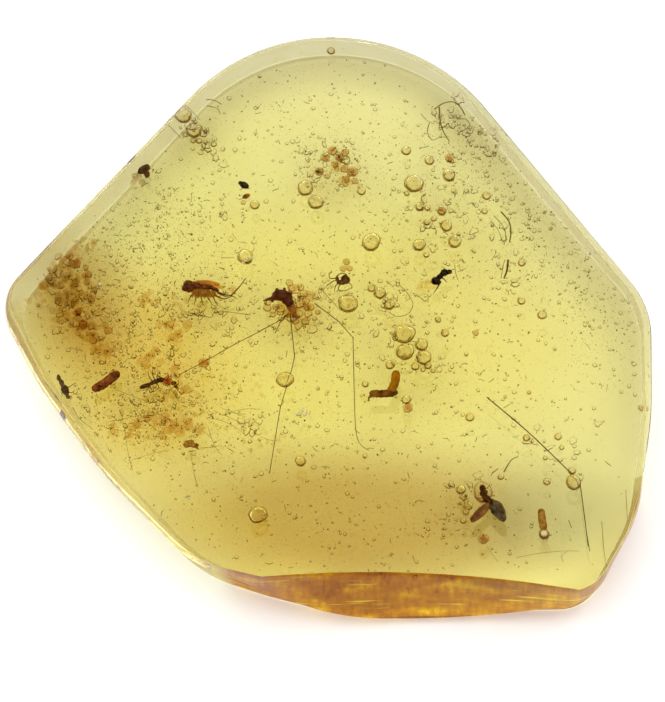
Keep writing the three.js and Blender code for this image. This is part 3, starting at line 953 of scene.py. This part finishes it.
def pellet(points, radius, seed, ragged):
    """A frass pellet: a rod along points (x, y) on the seam, with uneven sides and blunt ends."""
    shapes = Shapes()
    path = smooth_path([on_seam(x, y) for x, y in points], 8)
    rng = random.Random(seed)
    for i, p in enumerate(path):
        end = min(i, len(path) - 1 - i)
        r = radius * (0.86 if end == 0 else 1) * rng.uniform(1 - ragged / 2, 1 + ragged / 2)
        shapes.ball(p, (r, r, r), rng.uniform(0, 180), 14, ragged, seed + i)
    return shapes


def build_frass_rod():
    frass = grainy_material("frass_red", (0.09, 0.022, 0.010), (0.27, 0.085, 0.035), scale=1500)
    rod = pellet([(-32.7, -10.6), (-31.4, -9.8), (-29.7, -8.5)], 0.62, 3, 0.3)
    finish_piece(fuse(rod, "rod_pellet", 0.07, [frass]), replaces=("frass_rod",))


def build_frass_elbow():
    ochre = grainy_material("frass_ochre", (0.30, 0.115, 0.006), (0.46, 0.20, 0.012), 0.15, 1300)
    brown = grainy_material("frass_brown", (0.10, 0.035, 0.006), (0.34, 0.15, 0.03), 0.35, 1000)
    upright = pellet([(9.4, -8.5), (9.25, -9.8), (8.7, -11.0)], 0.62, 5, 0.1)
    across = pellet([(9.2, -11.2), (7.8, -11.45), (6.1, -11.4)], 0.56, 9, 0.24)
    add_strands(across, [([(6.0, -11.6), (5.6, -12.0), (5.6, -12.5)], 0.2, 0.08)])
    skin = fuse(upright, "elbow_upright", 0.07, [ochre])
    lower = fuse(across, "elbow_across", 0.07, [brown])
    finish_piece(join(skin, lower), replaces=("frass_elbow",))


def build_frass_drop():
    tan = grainy_material("frass_tan", (0.28, 0.14, 0.03), (0.50, 0.29, 0.09), 0.2, 1500)
    film = stain_material("drop_film", (0.42, 0.15, 0.02), 5200, scale=900)
    pearl = grainy_material("drop_pearl", (0.72, 0.58, 0.52), (0.95, 0.90, 0.86), 0.0, 500, 0.25)
    rod = pellet([(29.6, -28.5), (29.7, -29.6), (29.9, -30.8)], 0.54, 6, 0.14)
    skin = fuse(rod, "drop_rod", 0.07, [tan])
    drops = Shapes()
    drops.ring(on_seam(30.0, -31.7), (0.62, 0.62), 0.2, 0, 0, 32, 0.1)
    drops.ball(on_seam(30.0, -31.65, 0.25), (0.45, 0.42, 0.25), 0, 18, 0.1, look=1)
    ball = drops.make("drop_ball", [film, pearl])
    finish_piece(join(skin, ball), replaces=("frass_drop",))


def build_bark_crumb():
    red = stain_material("crumb_red", (0.70, 0.24, 0.01), 2600, ior=1.03)
    bark = grainy_material("crumb_bark", (0.07, 0.022, 0.008), (0.26, 0.10, 0.03), scale=1500)
    shapes = Shapes()
    body(shapes, -22.6, -9.5, (0.72, 0.7, 0.55), 0, 0.2)
    shapes.ball(on_seam(-21.7, -9.8), (0.42, 0.3, 0.3), 30, 12, 0.5, 3, look=1)
    shapes.ball(on_seam(-21.4, -10.3), (0.36, 0.26, 0.26), -30, 12, 0.5, 8, look=1)
    finish_piece(shapes.make("crumb", [red, bark]), replaces=("bark_crumb",))


def build_bark_flake():
    bark = grainy_material("flake_bark", (0.16, 0.065, 0.014), (0.46, 0.25, 0.06), scale=1300)
    bodies = [
        (-19.6, -18.7, (0.85, 0.5, 0.2), 25, 0.6, 6),
        (-18.9, -18.9, (0.7, 0.4, 0.18), -10, 0.6, 6),
    ]
    legs = [([(-19.0, -18.9), (-18.4, -19.3), (-18.2, -19.5)], 0.25, 0.08)]
    skin = grown("flake", 0.05, bark, bodies, legs)
    finish_piece(skin, replaces=("bark_flake",))


def build_fibres():
    fibre = grainy_material("fibre_brown", (0.075, 0.036, 0.008), (0.20, 0.12, 0.035), scale=900)
    shapes = Shapes()
    line = [(22.1, -11.9), (27.9, -17.0), (33.4, -22.5), (34.9, -24.3), (35.5, -28.3), (36.1, -33.5)]
    path = smooth_path([on_seam(x, y) for x, y in line], 6)
    shapes.tube(path, taper(path, 0.1, 0.07), 6)
    split = smooth_path([on_seam(35.5, -28.4), on_seam(35.9, -31.5), on_seam(36.3, -34.2)], 5)
    shapes.tube(split, taper(split, 0.03, 0.05), 5)
    finish_piece(shapes.make("long_hair", [fibre]), replaces=("long_fibre",))
    shapes = Shapes()
    add_strands(shapes, [([(24.4, -22.8), (24.9, -21.9), (25.5, -21.0), (26.4, -20.5)], 0.09, 0.05)])
    finish_piece(shapes.make("short_hair", [fibre]), replaces=("short_fibre",))


build_long_legged_insect()
build_planthopper()
build_black_ant()
build_ant()
build_gnat()
build_winged_fly()
build_spider()
build_beetle()
build_seed_husk()
build_frass_rod()
build_frass_elbow()
build_frass_drop()
build_bark_crumb()
build_bark_flake()
build_fibres()

# ------------------------------------------------------------------ films, froth, drops and stains


def build_bubble_films():
    """A thin absorbing shell round each bubble, and a brown ring at its edge: painted shade for the dark
    edge that refraction gives a bubble.
    """
    film = stain_material("bubble_shade_shell", (0.70, 0.50, 0.10), 500)
    line = stain_material("bubble_edge_shade", (0.42, 0.25, 0.06), 13000)
    shapes = Shapes()
    for centre, radii, turn, seed in bubble_places():
        rough = uneven(radii)
        shapes.ball(centre, scaled(radii, FILM_OUTSIDE), turn, 24, rough, seed)
        shapes.ball(centre, scaled(radii, FILM_INSIDE), turn, 24, rough, seed, inward=True)
        thick = 0.05 + 0.04 * min(1.0, radii[2])  # the painted shade line of a larger bubble is a little thicker
        edge = [r * 1.01 + thick * 0.5 for r in radii]
        shapes.ring(centre, edge, thick, turn, 0, 32, rough, seed, 1)
    finish_piece(shapes.make("bubble_films", [film, line]))


# Bubbles of froth: place and radius.
FROTH = [
    (-5.5, 4.9, 0.55), (-4.8, 4.0, 0.8), (-4.0, 4.4, 0.55), (-3.5, 3.3, 0.55), (-3.2, 2.2, 0.55),
    (-6.7, 1.1, 0.6), (-5.0, 1.2, 0.55), (-5.9, 0.5, 0.55), (-7.8, 0.2, 0.4), (-8.6, 1.2, 0.55),
    (-2.9, 0.3, 0.55), (-4.1, 0.3, 0.55), (-3.3, -0.7, 0.55), (-4.3, -1.6, 0.5), (-4.0, 1.9, 0.7),
    (-5.2, 2.3, 0.65), (-4.7, -0.6, 0.55), (-6.7, -0.3, 0.4), (-8.5, 2.0, 0.4), (-7.4, 1.5, 0.5),
    (-3.9, 2.9, 0.5), (-2.5, 1.3, 0.5), (-7.9, 0.9, 0.45), (-2.0, -0.4, 0.35), (-1.5, 0.5, 0.35),
    (-3.1, 1.3, 0.4),
]


def build_froth():
    """Amber froth pressed out round the large insect."""
    amber = stain_material("froth_amber", (0.84, 0.52, 0.06), 700, ior=1.04, scale=500)
    film = stain_material("froth_film", (0.42, 0.17, 0.03), 7000, scale=500)
    shapes = Shapes()
    rng = random.Random(5)
    for x, y, r in FROTH:
        centre = on_seam(x, y, rng.uniform(-0.5, 0.6))
        turn = rng.uniform(0, 180)
        shapes.ring(centre, (r * 0.95, r * 0.9), 0.09, turn, rng.uniform(-20, 20), 20, 0.3, x, 1)
        shapes.ball(centre, (r * 0.84, r * 0.8, r * 0.84), turn, 16, 0.3, x)
    finish_piece(shapes.make("froth", [amber, film]))


# Drops of darker resin: place and radius.
DROPS = [
    (-36.4, 9.0, 0.6), (-35.5, 7.8, 0.75), (-34.1, 7.2, 0.4), (-33.7, 6.3, 0.55), (-33.9, 5.1, 0.5),
    (-32.9, 4.0, 0.5), (-33.3, 2.6, 0.55), (-30.9, -2.1, 0.6), (-17.5, -6.8, 0.8), (17.0, 23.5, 0.7),
    (15.9, 15.7, 0.55), (2.5, 8.0, 0.5), (2.0, 7.0, 0.45), (2.9, 7.0, 0.45), (11.1, -13.5, 0.75),
    (-12.0, 16.9, 0.35), (-0.5, 23.6, 0.7), (1.6, 23.8, 0.7), (2.2, 22.0, 0.6), (3.3, 21.5, 0.8),
    (2.5, 20.4, 0.5), (3.7, 20.1, 0.5), (-0.2, 20.8, 0.4), (0.9, 22.6, 0.5), (-1.3, 21.5, 0.6),
    (0.5, 24.7, 0.7), (2.3, 24.4, 0.6), (28.0, -11.2, 0.3), (43.6, -13.3, 0.4), (20.6, -2.5, 0.45),
    (-33.0, -3.5, 0.6), (-34.4, -1.2, 0.7), (-35.2, 0.6, 0.6), (21.5, -32.5, 0.8),
]


def build_drops():
    amber = stain_material("drop_amber", (0.76, 0.44, 0.02), 1700, ior=1.03, scale=700)
    film = stain_material("drop_edge", (0.42, 0.20, 0.03), 8000, scale=700)
    shapes = Shapes()
    for x, y, r in DROPS:
        centre = on_seam(x, y, 0.4)
        shapes.ring(centre, (r * 0.95, r * 0.85), 0.08, x * 40, 0, 24, 0.35, x, 1)
        shapes.ball(centre, (r * 0.86, r * 0.76, r * 0.7), x * 40, 16, 0.35, x)
    finish_piece(shapes.make("drops", [amber, film]))


def scattered(rng, margin, x, y, spread_x, spread_y, turn, count):
    """Places in plan, scattered in a turned oval. Those too near the rim are left out."""
    spin = Matrix.Rotation(math.radians(turn), 2)
    for _ in range(count):
        place = Vector((x, y)) + spin @ Vector((rng.gauss(0, spread_x), rng.gauss(0, spread_y)))
        if inside_pebble(*place, margin):
            yield place


CLOUD_MARGIN = 1.8  # how far in from the rim the clouds stay

# Clouds of stained resin: place, spread along x and y, turn, number of puffs and their size.
CLOUDS = [
    (-38.0, 6.4, 2.0, 1.0, 50, 90, 0.6),
    (-36.6, 2.8, 1.9, 1.4, 60, 110, 0.6),
    (-34.4, -1.0, 1.7, 1.2, -50, 70, 0.55),
    (-32.0, -4.6, 1.6, 0.9, -30, 40, 0.5),
    (-35.0, 9.5, 1.6, 0.8, 40, 40, 0.45),
    (-27.0, -16.9, 1.6, 0.9, 10, 16, 0.8),
    (-21.6, -15.8, 1.8, 0.9, -10, 18, 0.8),
    (-20.6, -10.7, 1.0, 0.7, 0, 14, 0.6),
    (-24.3, -6.4, 1.4, 0.8, 20, 12, 0.8),
    (-22.5, -14.5, 4.5, 2.0, -15, 90, 0.34),
    (-12.5, -12.5, 3.0, 2.5, -10, 40, 0.32),
    (-10.5, -17.5, 2.0, 1.5, 0, 24, 0.36),
    (-22.2, -2.2, 1.3, 1.1, 60, 16, 0.8),
    (-25.2, 2.6, 0.8, 0.7, 0, 8, 0.9),
    (-17.4, 3.0, 2.6, 1.0, -8, 14, 0.7),
    (-5.0, 1.2, 1.8, 1.5, 0, 16, 0.9),
    (1.5, 22.2, 1.7, 1.5, 0, 7, 0.8),
]


def build_clouds():
    cloud = stain_material("cloud_amber", (0.80, 0.50, 0.06), 640, scale=350)
    shapes = Shapes()
    rng = random.Random(8)
    for *patch, size in CLOUDS:
        for place in scattered(rng, CLOUD_MARGIN, *patch):
            r = size * rng.uniform(0.35, 1.1)
            centre = on_seam(*place, rng.uniform(-1.2, 0.9))
            radii = (r, r * rng.uniform(0.6, 1), r * 0.7)
            shapes.ball(centre, radii, rng.uniform(0, 180), 14, 0.6, rng.random() * 9)
    finish_piece(shapes.make("clouds", [cloud]))


# Places where white bits are set as a painted highlight, for the shine of a crack or a silvered bubble:
# place and radius.
SPARKS = [
    (-5.0, -0.4, 0.4), (-3.7, -14.4, 0.85), (-4.9, -15.6, 0.35), (-11.2, 8.6, 0.6), (-12.0, 7.9, 0.35),
    (-32.0, 4.6, 0.42), (-31.7, 3.9, 0.3), (-19.7, -26.6, 0.45), (22.3, -25.9, 0.3), (-20.2, -27.6, 0.25),
]


def build_sparks():
    """Painted highlights: broken, many-faced white bits that stand in for the shine of silvered bubbles
    and cracks.
    """
    pearl = grainy_material("pearl", (0.62, 0.58, 0.60), (1.0, 0.98, 0.95), 0.25, 900, 0.2)
    shapes = Shapes()
    rng = random.Random(61)
    for x, y, r in SPARKS:
        for _ in range(5):
            place = x + rng.uniform(-0.6, 0.6) * r, y + rng.uniform(-0.6, 0.6) * r
            size = (r * rng.uniform(0.3, 0.7), r * rng.uniform(0.15, 0.4), r * 0.3)
            centre = on_seam(*place, rng.uniform(0, 0.5))
            shapes.ball(centre, size, rng.uniform(0, 180), 7, 0.8, rng.random() * 9)
    finish_piece(shapes.make("sparks", [pearl]))


def build_edge_cap():
    """A brown chip with a dusky bubble against it, close under the upper left edge."""
    brown = grainy_material("cap_brown", (0.05, 0.022, 0.012), (0.20, 0.10, 0.045), 0.2, 1100)
    dusky = stain_material("cap_dusky", (0.55, 0.36, 0.24), 1100, ior=1.04, scale=900)
    shapes = Shapes()
    for x, y, size, turn in (-26.0, 21.9, (0.95, 0.55, 0.5), 35), (-25.6, 21.2, (0.4, 0.6, 0.4), 10):
        shapes.ball(on_seam(x, y, 0.2), size, turn, 16, 0.4, x)
    for x, y, r in (-27.0, 20.8, 0.75), (-27.5, 20.0, 0.5), (-26.3, 20.1, 0.5), (-26.6, 21.3, 0.4):
        shapes.ball(on_seam(x, y, 0.2), (r, r * 0.85, r * 0.7), 30, 16, 0.4, x, look=1)
    finish_piece(shapes.make("edge_cap", [brown, dusky]))


def build_ant_stain():
    yellow = stain_material("ant_stain", (0.97, 0.70, 0.02), 420, scale=900)
    shapes = Shapes()
    puddles = (13.4, 4.3, 1.3, 0.8, 30), (14.3, 4.6, 0.9, 0.6, 10), (12.8, 4.6, 0.8, 0.35, 60)
    for x, y, size_x, size_y, turn in puddles:
        shapes.ball(on_seam(x, y, -0.4), (size_x, size_y, 0.5), turn, 18, 0.6, x)
    finish_piece(shapes.make("stain", [yellow]))


# ------------------------------------------------------------------ specks, small bubbles and hairs

SPECKS, DUST, SMALL_BUBBLES, SPLINTERS, FLOW_HAIRS = 3400, 8500, 1100, 520, 20  # how many of each
DEBRIS_MARGIN, DUST_MARGIN, KNOT_MARGIN = 2.2, 1.4, 1.6  # how far in from the rim they stay

# Where fine debris gathers: place, spread along x and y, and share of all of it.
FIELDS = [
    (-31.0, 2.0, 6.0, 7.0, 18),
    (-24.0, -5.0, 6.0, 7.0, 16),
    (-25.0, -15.0, 7.0, 4.0, 12),
    (-24.0, 14.0, 6.0, 6.0, 13),
    (-15.0, 4.0, 7.0, 6.0, 8),
    (-3.0, 31.0, 12.0, 6.0, 8),
    (1.5, 22.0, 3.0, 2.6, 5),
    (14.0, 17.0, 6.0, 7.0, 7),
    (21.0, 23.0, 4.0, 4.5, 9),
    (30.0, 12.0, 5.0, 6.0, 10),
    (38.0, 1.0, 4.0, 6.0, 8),
    (10.0, 2.0, 9.0, 7.0, 7),
    (-3.0, 0.0, 8.0, 6.0, 6),
    (-2.0, -20.0, 14.0, 9.0, 12),
    (22.0, -14.0, 9.0, 9.0, 8),
    (8.0, -32.0, 16.0, 3.0, 7),
]


def debris_places(count, seed, margin=DEBRIS_MARGIN):
    """Places on and near the seam, gathered in the fields. One in six lies anywhere."""
    rng = random.Random(seed)
    weights = [field[4] for field in FIELDS]
    places = []
    while len(places) < count:
        x, y, spread_x, spread_y, _ = rng.choices(FIELDS, weights)[0]
        if rng.random() < 1 / 6:
            x, y, spread_x, spread_y = 0, 0, 26, 22
        place = rng.gauss(x, spread_x), rng.gauss(y, spread_y)
        if inside_pebble(*place, margin):
            places.append(on_seam(*place, rng.uniform(-2.2, 1.8)))
    return places


def build_specks():
    """Dark specks that are seen one by one."""
    dark = grainy_material("dust_dark", (0.050, 0.028, 0.006), (0.12, 0.075, 0.018))
    olive = grainy_material("dust_olive", (0.16, 0.105, 0.018), (0.30, 0.20, 0.04), 0.3)
    shapes = Shapes()
    rng = random.Random(21)
    for centre in debris_places(SPECKS, 22):
        r = 0.055 + 0.10 * rng.random() ** 2.2
        radii = (r, r * rng.uniform(0.6, 1), r * rng.uniform(0.6, 1))
        shapes.ball(centre, radii, rng.uniform(0, 180), 6, 0.5, rng.random() * 9, rng.choice((0, 1, 1)))
    finish_piece(shapes.make("specks", [dark, olive]))


def build_dust():
    """Dust so fine that it only dulls the resin, thickest at the left and along the right edge."""
    olive = grainy_material("dust_fine", (0.10, 0.06, 0.01), (0.26, 0.17, 0.03), 0.2)
    shapes = Shapes()
    rng = random.Random(23)
    for centre in debris_places(DUST, 24, DUST_MARGIN):
        r = rng.uniform(0.028, 0.055)
        shapes.ball(centre, (r * rng.uniform(1, 1.8), r, r), rng.uniform(0, 180), 4)
    finish_piece(shapes.make("dust", [olive]))


# Knots of torn bubbles: place, spread along x and y, turn and how many.
KNOTS = [
    (-18.2, 27.4, 2.4, 0.9, -50, 34),
    (-11.8, 38.6, 0.8, 0.8, 0, 8),
    (-38.0, 6.0, 2.2, 1.4, 50, 26),
    (-35.0, 0.5, 2.2, 1.6, 60, 34),
    (-24.5, -10.0, 4.5, 3.5, 0, 44),
    (0.5, 22.6, 2.4, 2.4, 0, 26),
    (17.6, 29.2, 1.8, 2.0, 0, 18),
    (24.2, 26.0, 1.4, 2.4, 40, 22),
    (16.4, 14.6, 2.6, 3.6, -20, 22),
    (24.8, 12.0, 1.2, 4.0, 0, 18),
    (8.5, 3.0, 2.4, 2.2, 0, 18),
    (11.5, -5.5, 2.6, 2.0, -40, 14),
    (-4.0, 1.0, 2.6, 2.4, 0, 24),
    (-10.6, -16.5, 1.6, 1.4, 0, 10),
    (19.0, -27.0, 1.6, 2.0, 0, 12),
    (-19.5, 1.2, 3.0, 1.2, -10, 18),
    (33.0, -20.0, 2.0, 3.0, 30, 12),
]


def build_small_bubbles():
    """Small bubbles, each drawn only as a fine brown ring of painted shade for its dark edge, and loose
    knots of torn ones.
    """
    film = stain_material("small_bubble_shade_ring", (0.40, 0.22, 0.04), 17000)
    shapes = Shapes()
    rng = random.Random(31)
    for centre in debris_places(SMALL_BUBBLES, 32):
        r = 0.12 + 0.24 * rng.random() ** 1.8
        size = (r, r * rng.uniform(0.7, 1))
        turn = rng.uniform(0, 180)
        shapes.ring(centre, size, 0.055, turn, rng.uniform(-30, 30), 10, 0.3, rng.random() * 9)
    for knot in KNOTS:
        for place in scattered(rng, KNOT_MARGIN, *knot):
            r = rng.uniform(0.2, 0.65)
            size = (r, r * rng.uniform(0.5, 1))
            centre = on_seam(*place, rng.uniform(-1, 1))
            thick = rng.uniform(0.045, 0.075)
            turn = rng.uniform(0, 180)
            shapes.ring(centre, size, thick, turn, rng.uniform(-40, 40), 20, 0.9, rng.random() * 9)
    finish_piece(shapes.make("small_bubbles", [film]))


def build_splinters():
    """Short fibres and splinters, each bent a little."""
    brown = grainy_material("splinter_brown", (0.10, 0.055, 0.012), (0.24, 0.15, 0.04), 0.2)
    shapes = Shapes()
    rng = random.Random(41)
    for centre in debris_places(SPLINTERS, 42):
        length = 0.25 + 0.9 * rng.random() ** 2
        angle = rng.uniform(0, 2 * math.pi)
        way = Vector((math.cos(angle), math.sin(angle), rng.uniform(-0.3, 0.3))) * length / 2
        bend = Vector((-way.y, way.x, 0)) * rng.uniform(-0.4, 0.4)
        r = rng.uniform(0.028, 0.055)
        shapes.tube([centre - way, centre + bend, centre + way], [r, r * 1.2, r * 0.8], 4)
    finish_piece(shapes.make("splinters", [brown]))


# Single hairs and edges seen one by one: points and radius.
HAIRS = [
    ([(-18.9, 0.2), (-17.9, 0.1), (-16.5, -0.1), (-16.1, 0.5), (-14.5, 0.7), (-11.0, 0.2)], 0.06),
    ([(-19.4, 0.5), (-18.7, 0.4), (-18.2, -0.1)], 0.1),
    ([(-35.8, -13.4), (-34.9, -15.0), (-33.0, -16.6)], 0.05),
    ([(-0.8, 3.7), (0.6, 2.0), (1.7, 0.7)], 0.05),
    ([(17.7, 7.6), (17.8, 6.4), (18.2, 5.2)], 0.05),
    ([(23.0, -22.8), (23.6, -22.3)], 0.09),
    ([(41.4, -25.2), (41.6, -29.2), (41.9, -30.5)], 0.04),
    ([(38.0, -29.8), (38.3, -34.3), (38.7, -37.0)], 0.04),
    ([(33.4, -29.7), (33.8, -30.8)], 0.06),
    ([(26.1, -35.2), (29.0, -34.6), (32.4, -34.2), (35.0, -34.2)], 0.03),
    ([(22.0, -33.6), (22.8, -34.8), (23.6, -35.9)], 0.03),
    ([(32.6, -35.8), (32.4, -34.9), (33.2, -34.2)], 0.03),
    ([(24.2, 15.6), (25.3, 14.2), (25.6, 12.6), (25.4, 11.0)], 0.12),
    ([(23.2, 15.0), (24.5, 13.4), (24.9, 11.8), (24.6, 10.6)], 0.06),
    ([(22.8, 14.2), (23.9, 12.6), (24.4, 10.8)], 0.05),
    ([(25.2, 8.4), (25.0, 6.8), (24.6, 5.6)], 0.16),
    ([(24.7, 8.4), (24.4, 7.0), (24.2, 5.6)], 0.05),
    ([(14.9, 31.1), (16.2, 32.0), (17.6, 32.2), (18.6, 31.4), (19.2, 30.2)], 0.1),
    ([(15.6, 31.4), (15.7, 29.4), (16.2, 27.6), (17.0, 26.2)], 0.1),
    ([(14.2, 29.0), (13.9, 27.6), (14.6, 26.4), (15.6, 26.8)], 0.06),
    ([(17.2, 30.2), (18.2, 29.6), (19.3, 29.6), (19.9, 28.6), (19.0, 27.9)], 0.06),
    ([(13.0, 30.4), (13.8, 29.4), (14.9, 28.8)], 0.05),
    ([(-17.3, 32.4), (-16.2, 32.3), (-15.1, 31.7)], 0.07),
    ([(-17.2, 31.5), (-15.8, 31.1), (-15.3, 30.3)], 0.06),
    ([(-20.2, 31.6), (-18.1, 29.3)], 0.05),
    ([(-23.1, 29.1), (-20.8, 26.6)], 0.05),
    ([(-15.1, 8.7), (-13.3, 8.7)], 0.05),
    ([(-10.0, -2.0), (-9.7, -2.4)], 0.09),
    ([(6.1, 4.8), (7.0, 3.9), (7.4, 2.6)], 0.05),
    ([(9.9, 4.6), (11.0, 3.4), (11.8, 1.8), (11.2, 0.4), (9.6, -0.1), (8.4, 0.6)], 0.05),
    ([(13.4, 16.8), (13.0, 17.6), (13.7, 18.3)], 0.08),
]


def flow_line(rng):
    """A curved line that follows the flow of the resin round the ant."""
    x, y = rng.gauss(-24, 5.5), rng.gauss(-14.5, 3.2)
    step = rng.uniform(1.5, 6.5) / 4
    heading = math.radians(rng.gauss(-22, 24))
    curl = rng.uniform(-0.9, 0.5)
    line = []
    for k in range(5):
        line.append((x, y))
        turned = heading + curl * (k / 4 - 0.5)
        x, y = x + math.cos(turned) * step, y + math.sin(turned) * step
    return line


def build_hairs():
    brown = grainy_material("hair_brown", (0.14, 0.075, 0.014), (0.30, 0.18, 0.05), 0.4)
    shapes = Shapes()
    rng = random.Random(51)
    for _ in range(FLOW_HAIRS):
        line = flow_line(rng)
        if all(inside_pebble(*p, DEBRIS_MARGIN) for p in line):
            add_strands(shapes, [(line, 0.022, 0.03)], rng.uniform(-1.0, 1.2))
    add_strands(shapes, [(line, r, r * 0.7) for line, r in HAIRS])
    finish_piece(shapes.make("hairs", [brown]))


build_bubble_films()
build_froth()
build_drops()
build_clouds()
build_ant_stain()
build_sparks()
build_edge_cap()
build_specks()
build_dust()
build_small_bubbles()
build_splinters()
build_hairs()

# ------------------------------------------------------------------ stage, light and camera


def build_floor():
    shapes = Shapes()
    half = 900
    low = -0.1
    corners = [(-half, -half, low), (half, -half, low), (half, half, low), (-half, half, low)]
    shapes.add(corners, [(0, 1, 2, 3)])
    material, _, _ = principled("floor_white", Base_Color=(0.93, 0.945, 0.96, 1), Roughness=0.9)
    floor = shapes.make("floor", [material])
    floor.data.transform(Matrix.Scale(MM, 4))


WORLD_STRENGTH = 1.42
WORLD_TINT = (0.975, 0.988, 1, 1)
WORLD_LEAN = 0.55  # how much more light comes from behind the pebble, +Y, than from before it
FLAG = (0.075, 0.416, 0.906)  # a dark flag hangs here, so that the polished front mirrors nothing white
FLAG_HALF, FLAG_EASE = 11, 7  # degrees


def build_world():
    """A white room, brighter at the back, with the dark flag in it."""
    world = bpy.data.worlds.new("studio")
    world.use_nodes = True
    tree = world.node_tree
    way = add_node(tree, "TexCoord", {}).outputs["Generated"]
    lean = add_node(tree, "VectorMath", {0: way, 1: (0, WORLD_LEAN, 0)}, operation="DOT_PRODUCT")
    flag = add_node(tree, "VectorMath", {0: way, 1: FLAG}, operation="DOT_PRODUCT")
    inner, outer = math.radians(FLAG_HALF), math.radians(FLAG_HALF + FLAG_EASE)
    edge = {"Value": flag.outputs["Value"], "From Min": math.cos(inner), "From Max": math.cos(outer)}
    open_sky = add_node(tree, "MapRange", edge).outputs["Result"]
    sums = {0: lean.outputs["Value"], 1: open_sky, 2: open_sky}
    level = add_node(tree, "Math", sums, operation="MULTIPLY_ADD").outputs["Value"]
    background = tree.nodes["Background"]
    feed(tree, background.inputs["Color"], mix(tree, 1.0, WORLD_TINT, level, "MULTIPLY"))
    background.inputs["Strength"].default_value = WORLD_STRENGTH
    bpy.context.scene.world = world


def area_light(name, place, size, power):
    """A soft light that points at the pebble."""
    data = bpy.data.lights.new(name, "AREA")
    data.shape = "RECTANGLE"
    data.size, data.size_y = size
    data.energy = power
    light = bpy.data.objects.new(name, data)
    light.location = place
    light.rotation_euler = (-Vector(place)).to_track_quat("-Z", "Y").to_euler()
    bpy.context.scene.collection.objects.link(light)


CAMERA_ELEVATION = 74
CAMERA_DISTANCE = 1.6
VIEW_WIDTH = 93.1  # millimetres across the picture at the pebble
AIM = (0.6, -4.6, 8.0)


def build_camera():
    data = bpy.data.cameras.new("camera")
    data.sensor_fit = "HORIZONTAL"
    data.sensor_width = 36
    data.lens = data.sensor_width * CAMERA_DISTANCE / (VIEW_WIDTH * MM)
    data.clip_end = 10
    camera = bpy.data.objects.new("camera", data)
    rise = math.radians(CAMERA_ELEVATION)
    camera.location = Vector(AIM) * MM + Vector((0, -math.cos(rise), math.sin(rise))) * CAMERA_DISTANCE
    camera.rotation_euler = (math.pi / 2 - rise, 0, 0)
    bpy.context.scene.collection.objects.link(camera)
    bpy.context.scene.camera = camera


def build_studio():
    build_floor()
    build_world()
    area_light("key", (0.0, 0.1, 1.0), (1.0, 0.5), 2.5)
    area_light("edge_left", (-0.42, 0.85, 0.42), (0.2, 0.12), 0.9)
    area_light("edge_right", (0.16, 0.92, 0.42), (0.06, 0.12), 0.3)
    build_camera()
    scene = bpy.context.scene
    scene.view_settings.view_transform = "Standard"
    scene.cycles.max_bounces = 24
    scene.cycles.transmission_bounces = 24
    scene.cycles.diffuse_bounces = 4
    scene.cycles.glossy_bounces = 16
    scene.cycles.blur_glossy = 0  # light that has passed through the stone stays as bright as it is
    scene.cycles.sample_clamp_indirect = 30


build_studio()
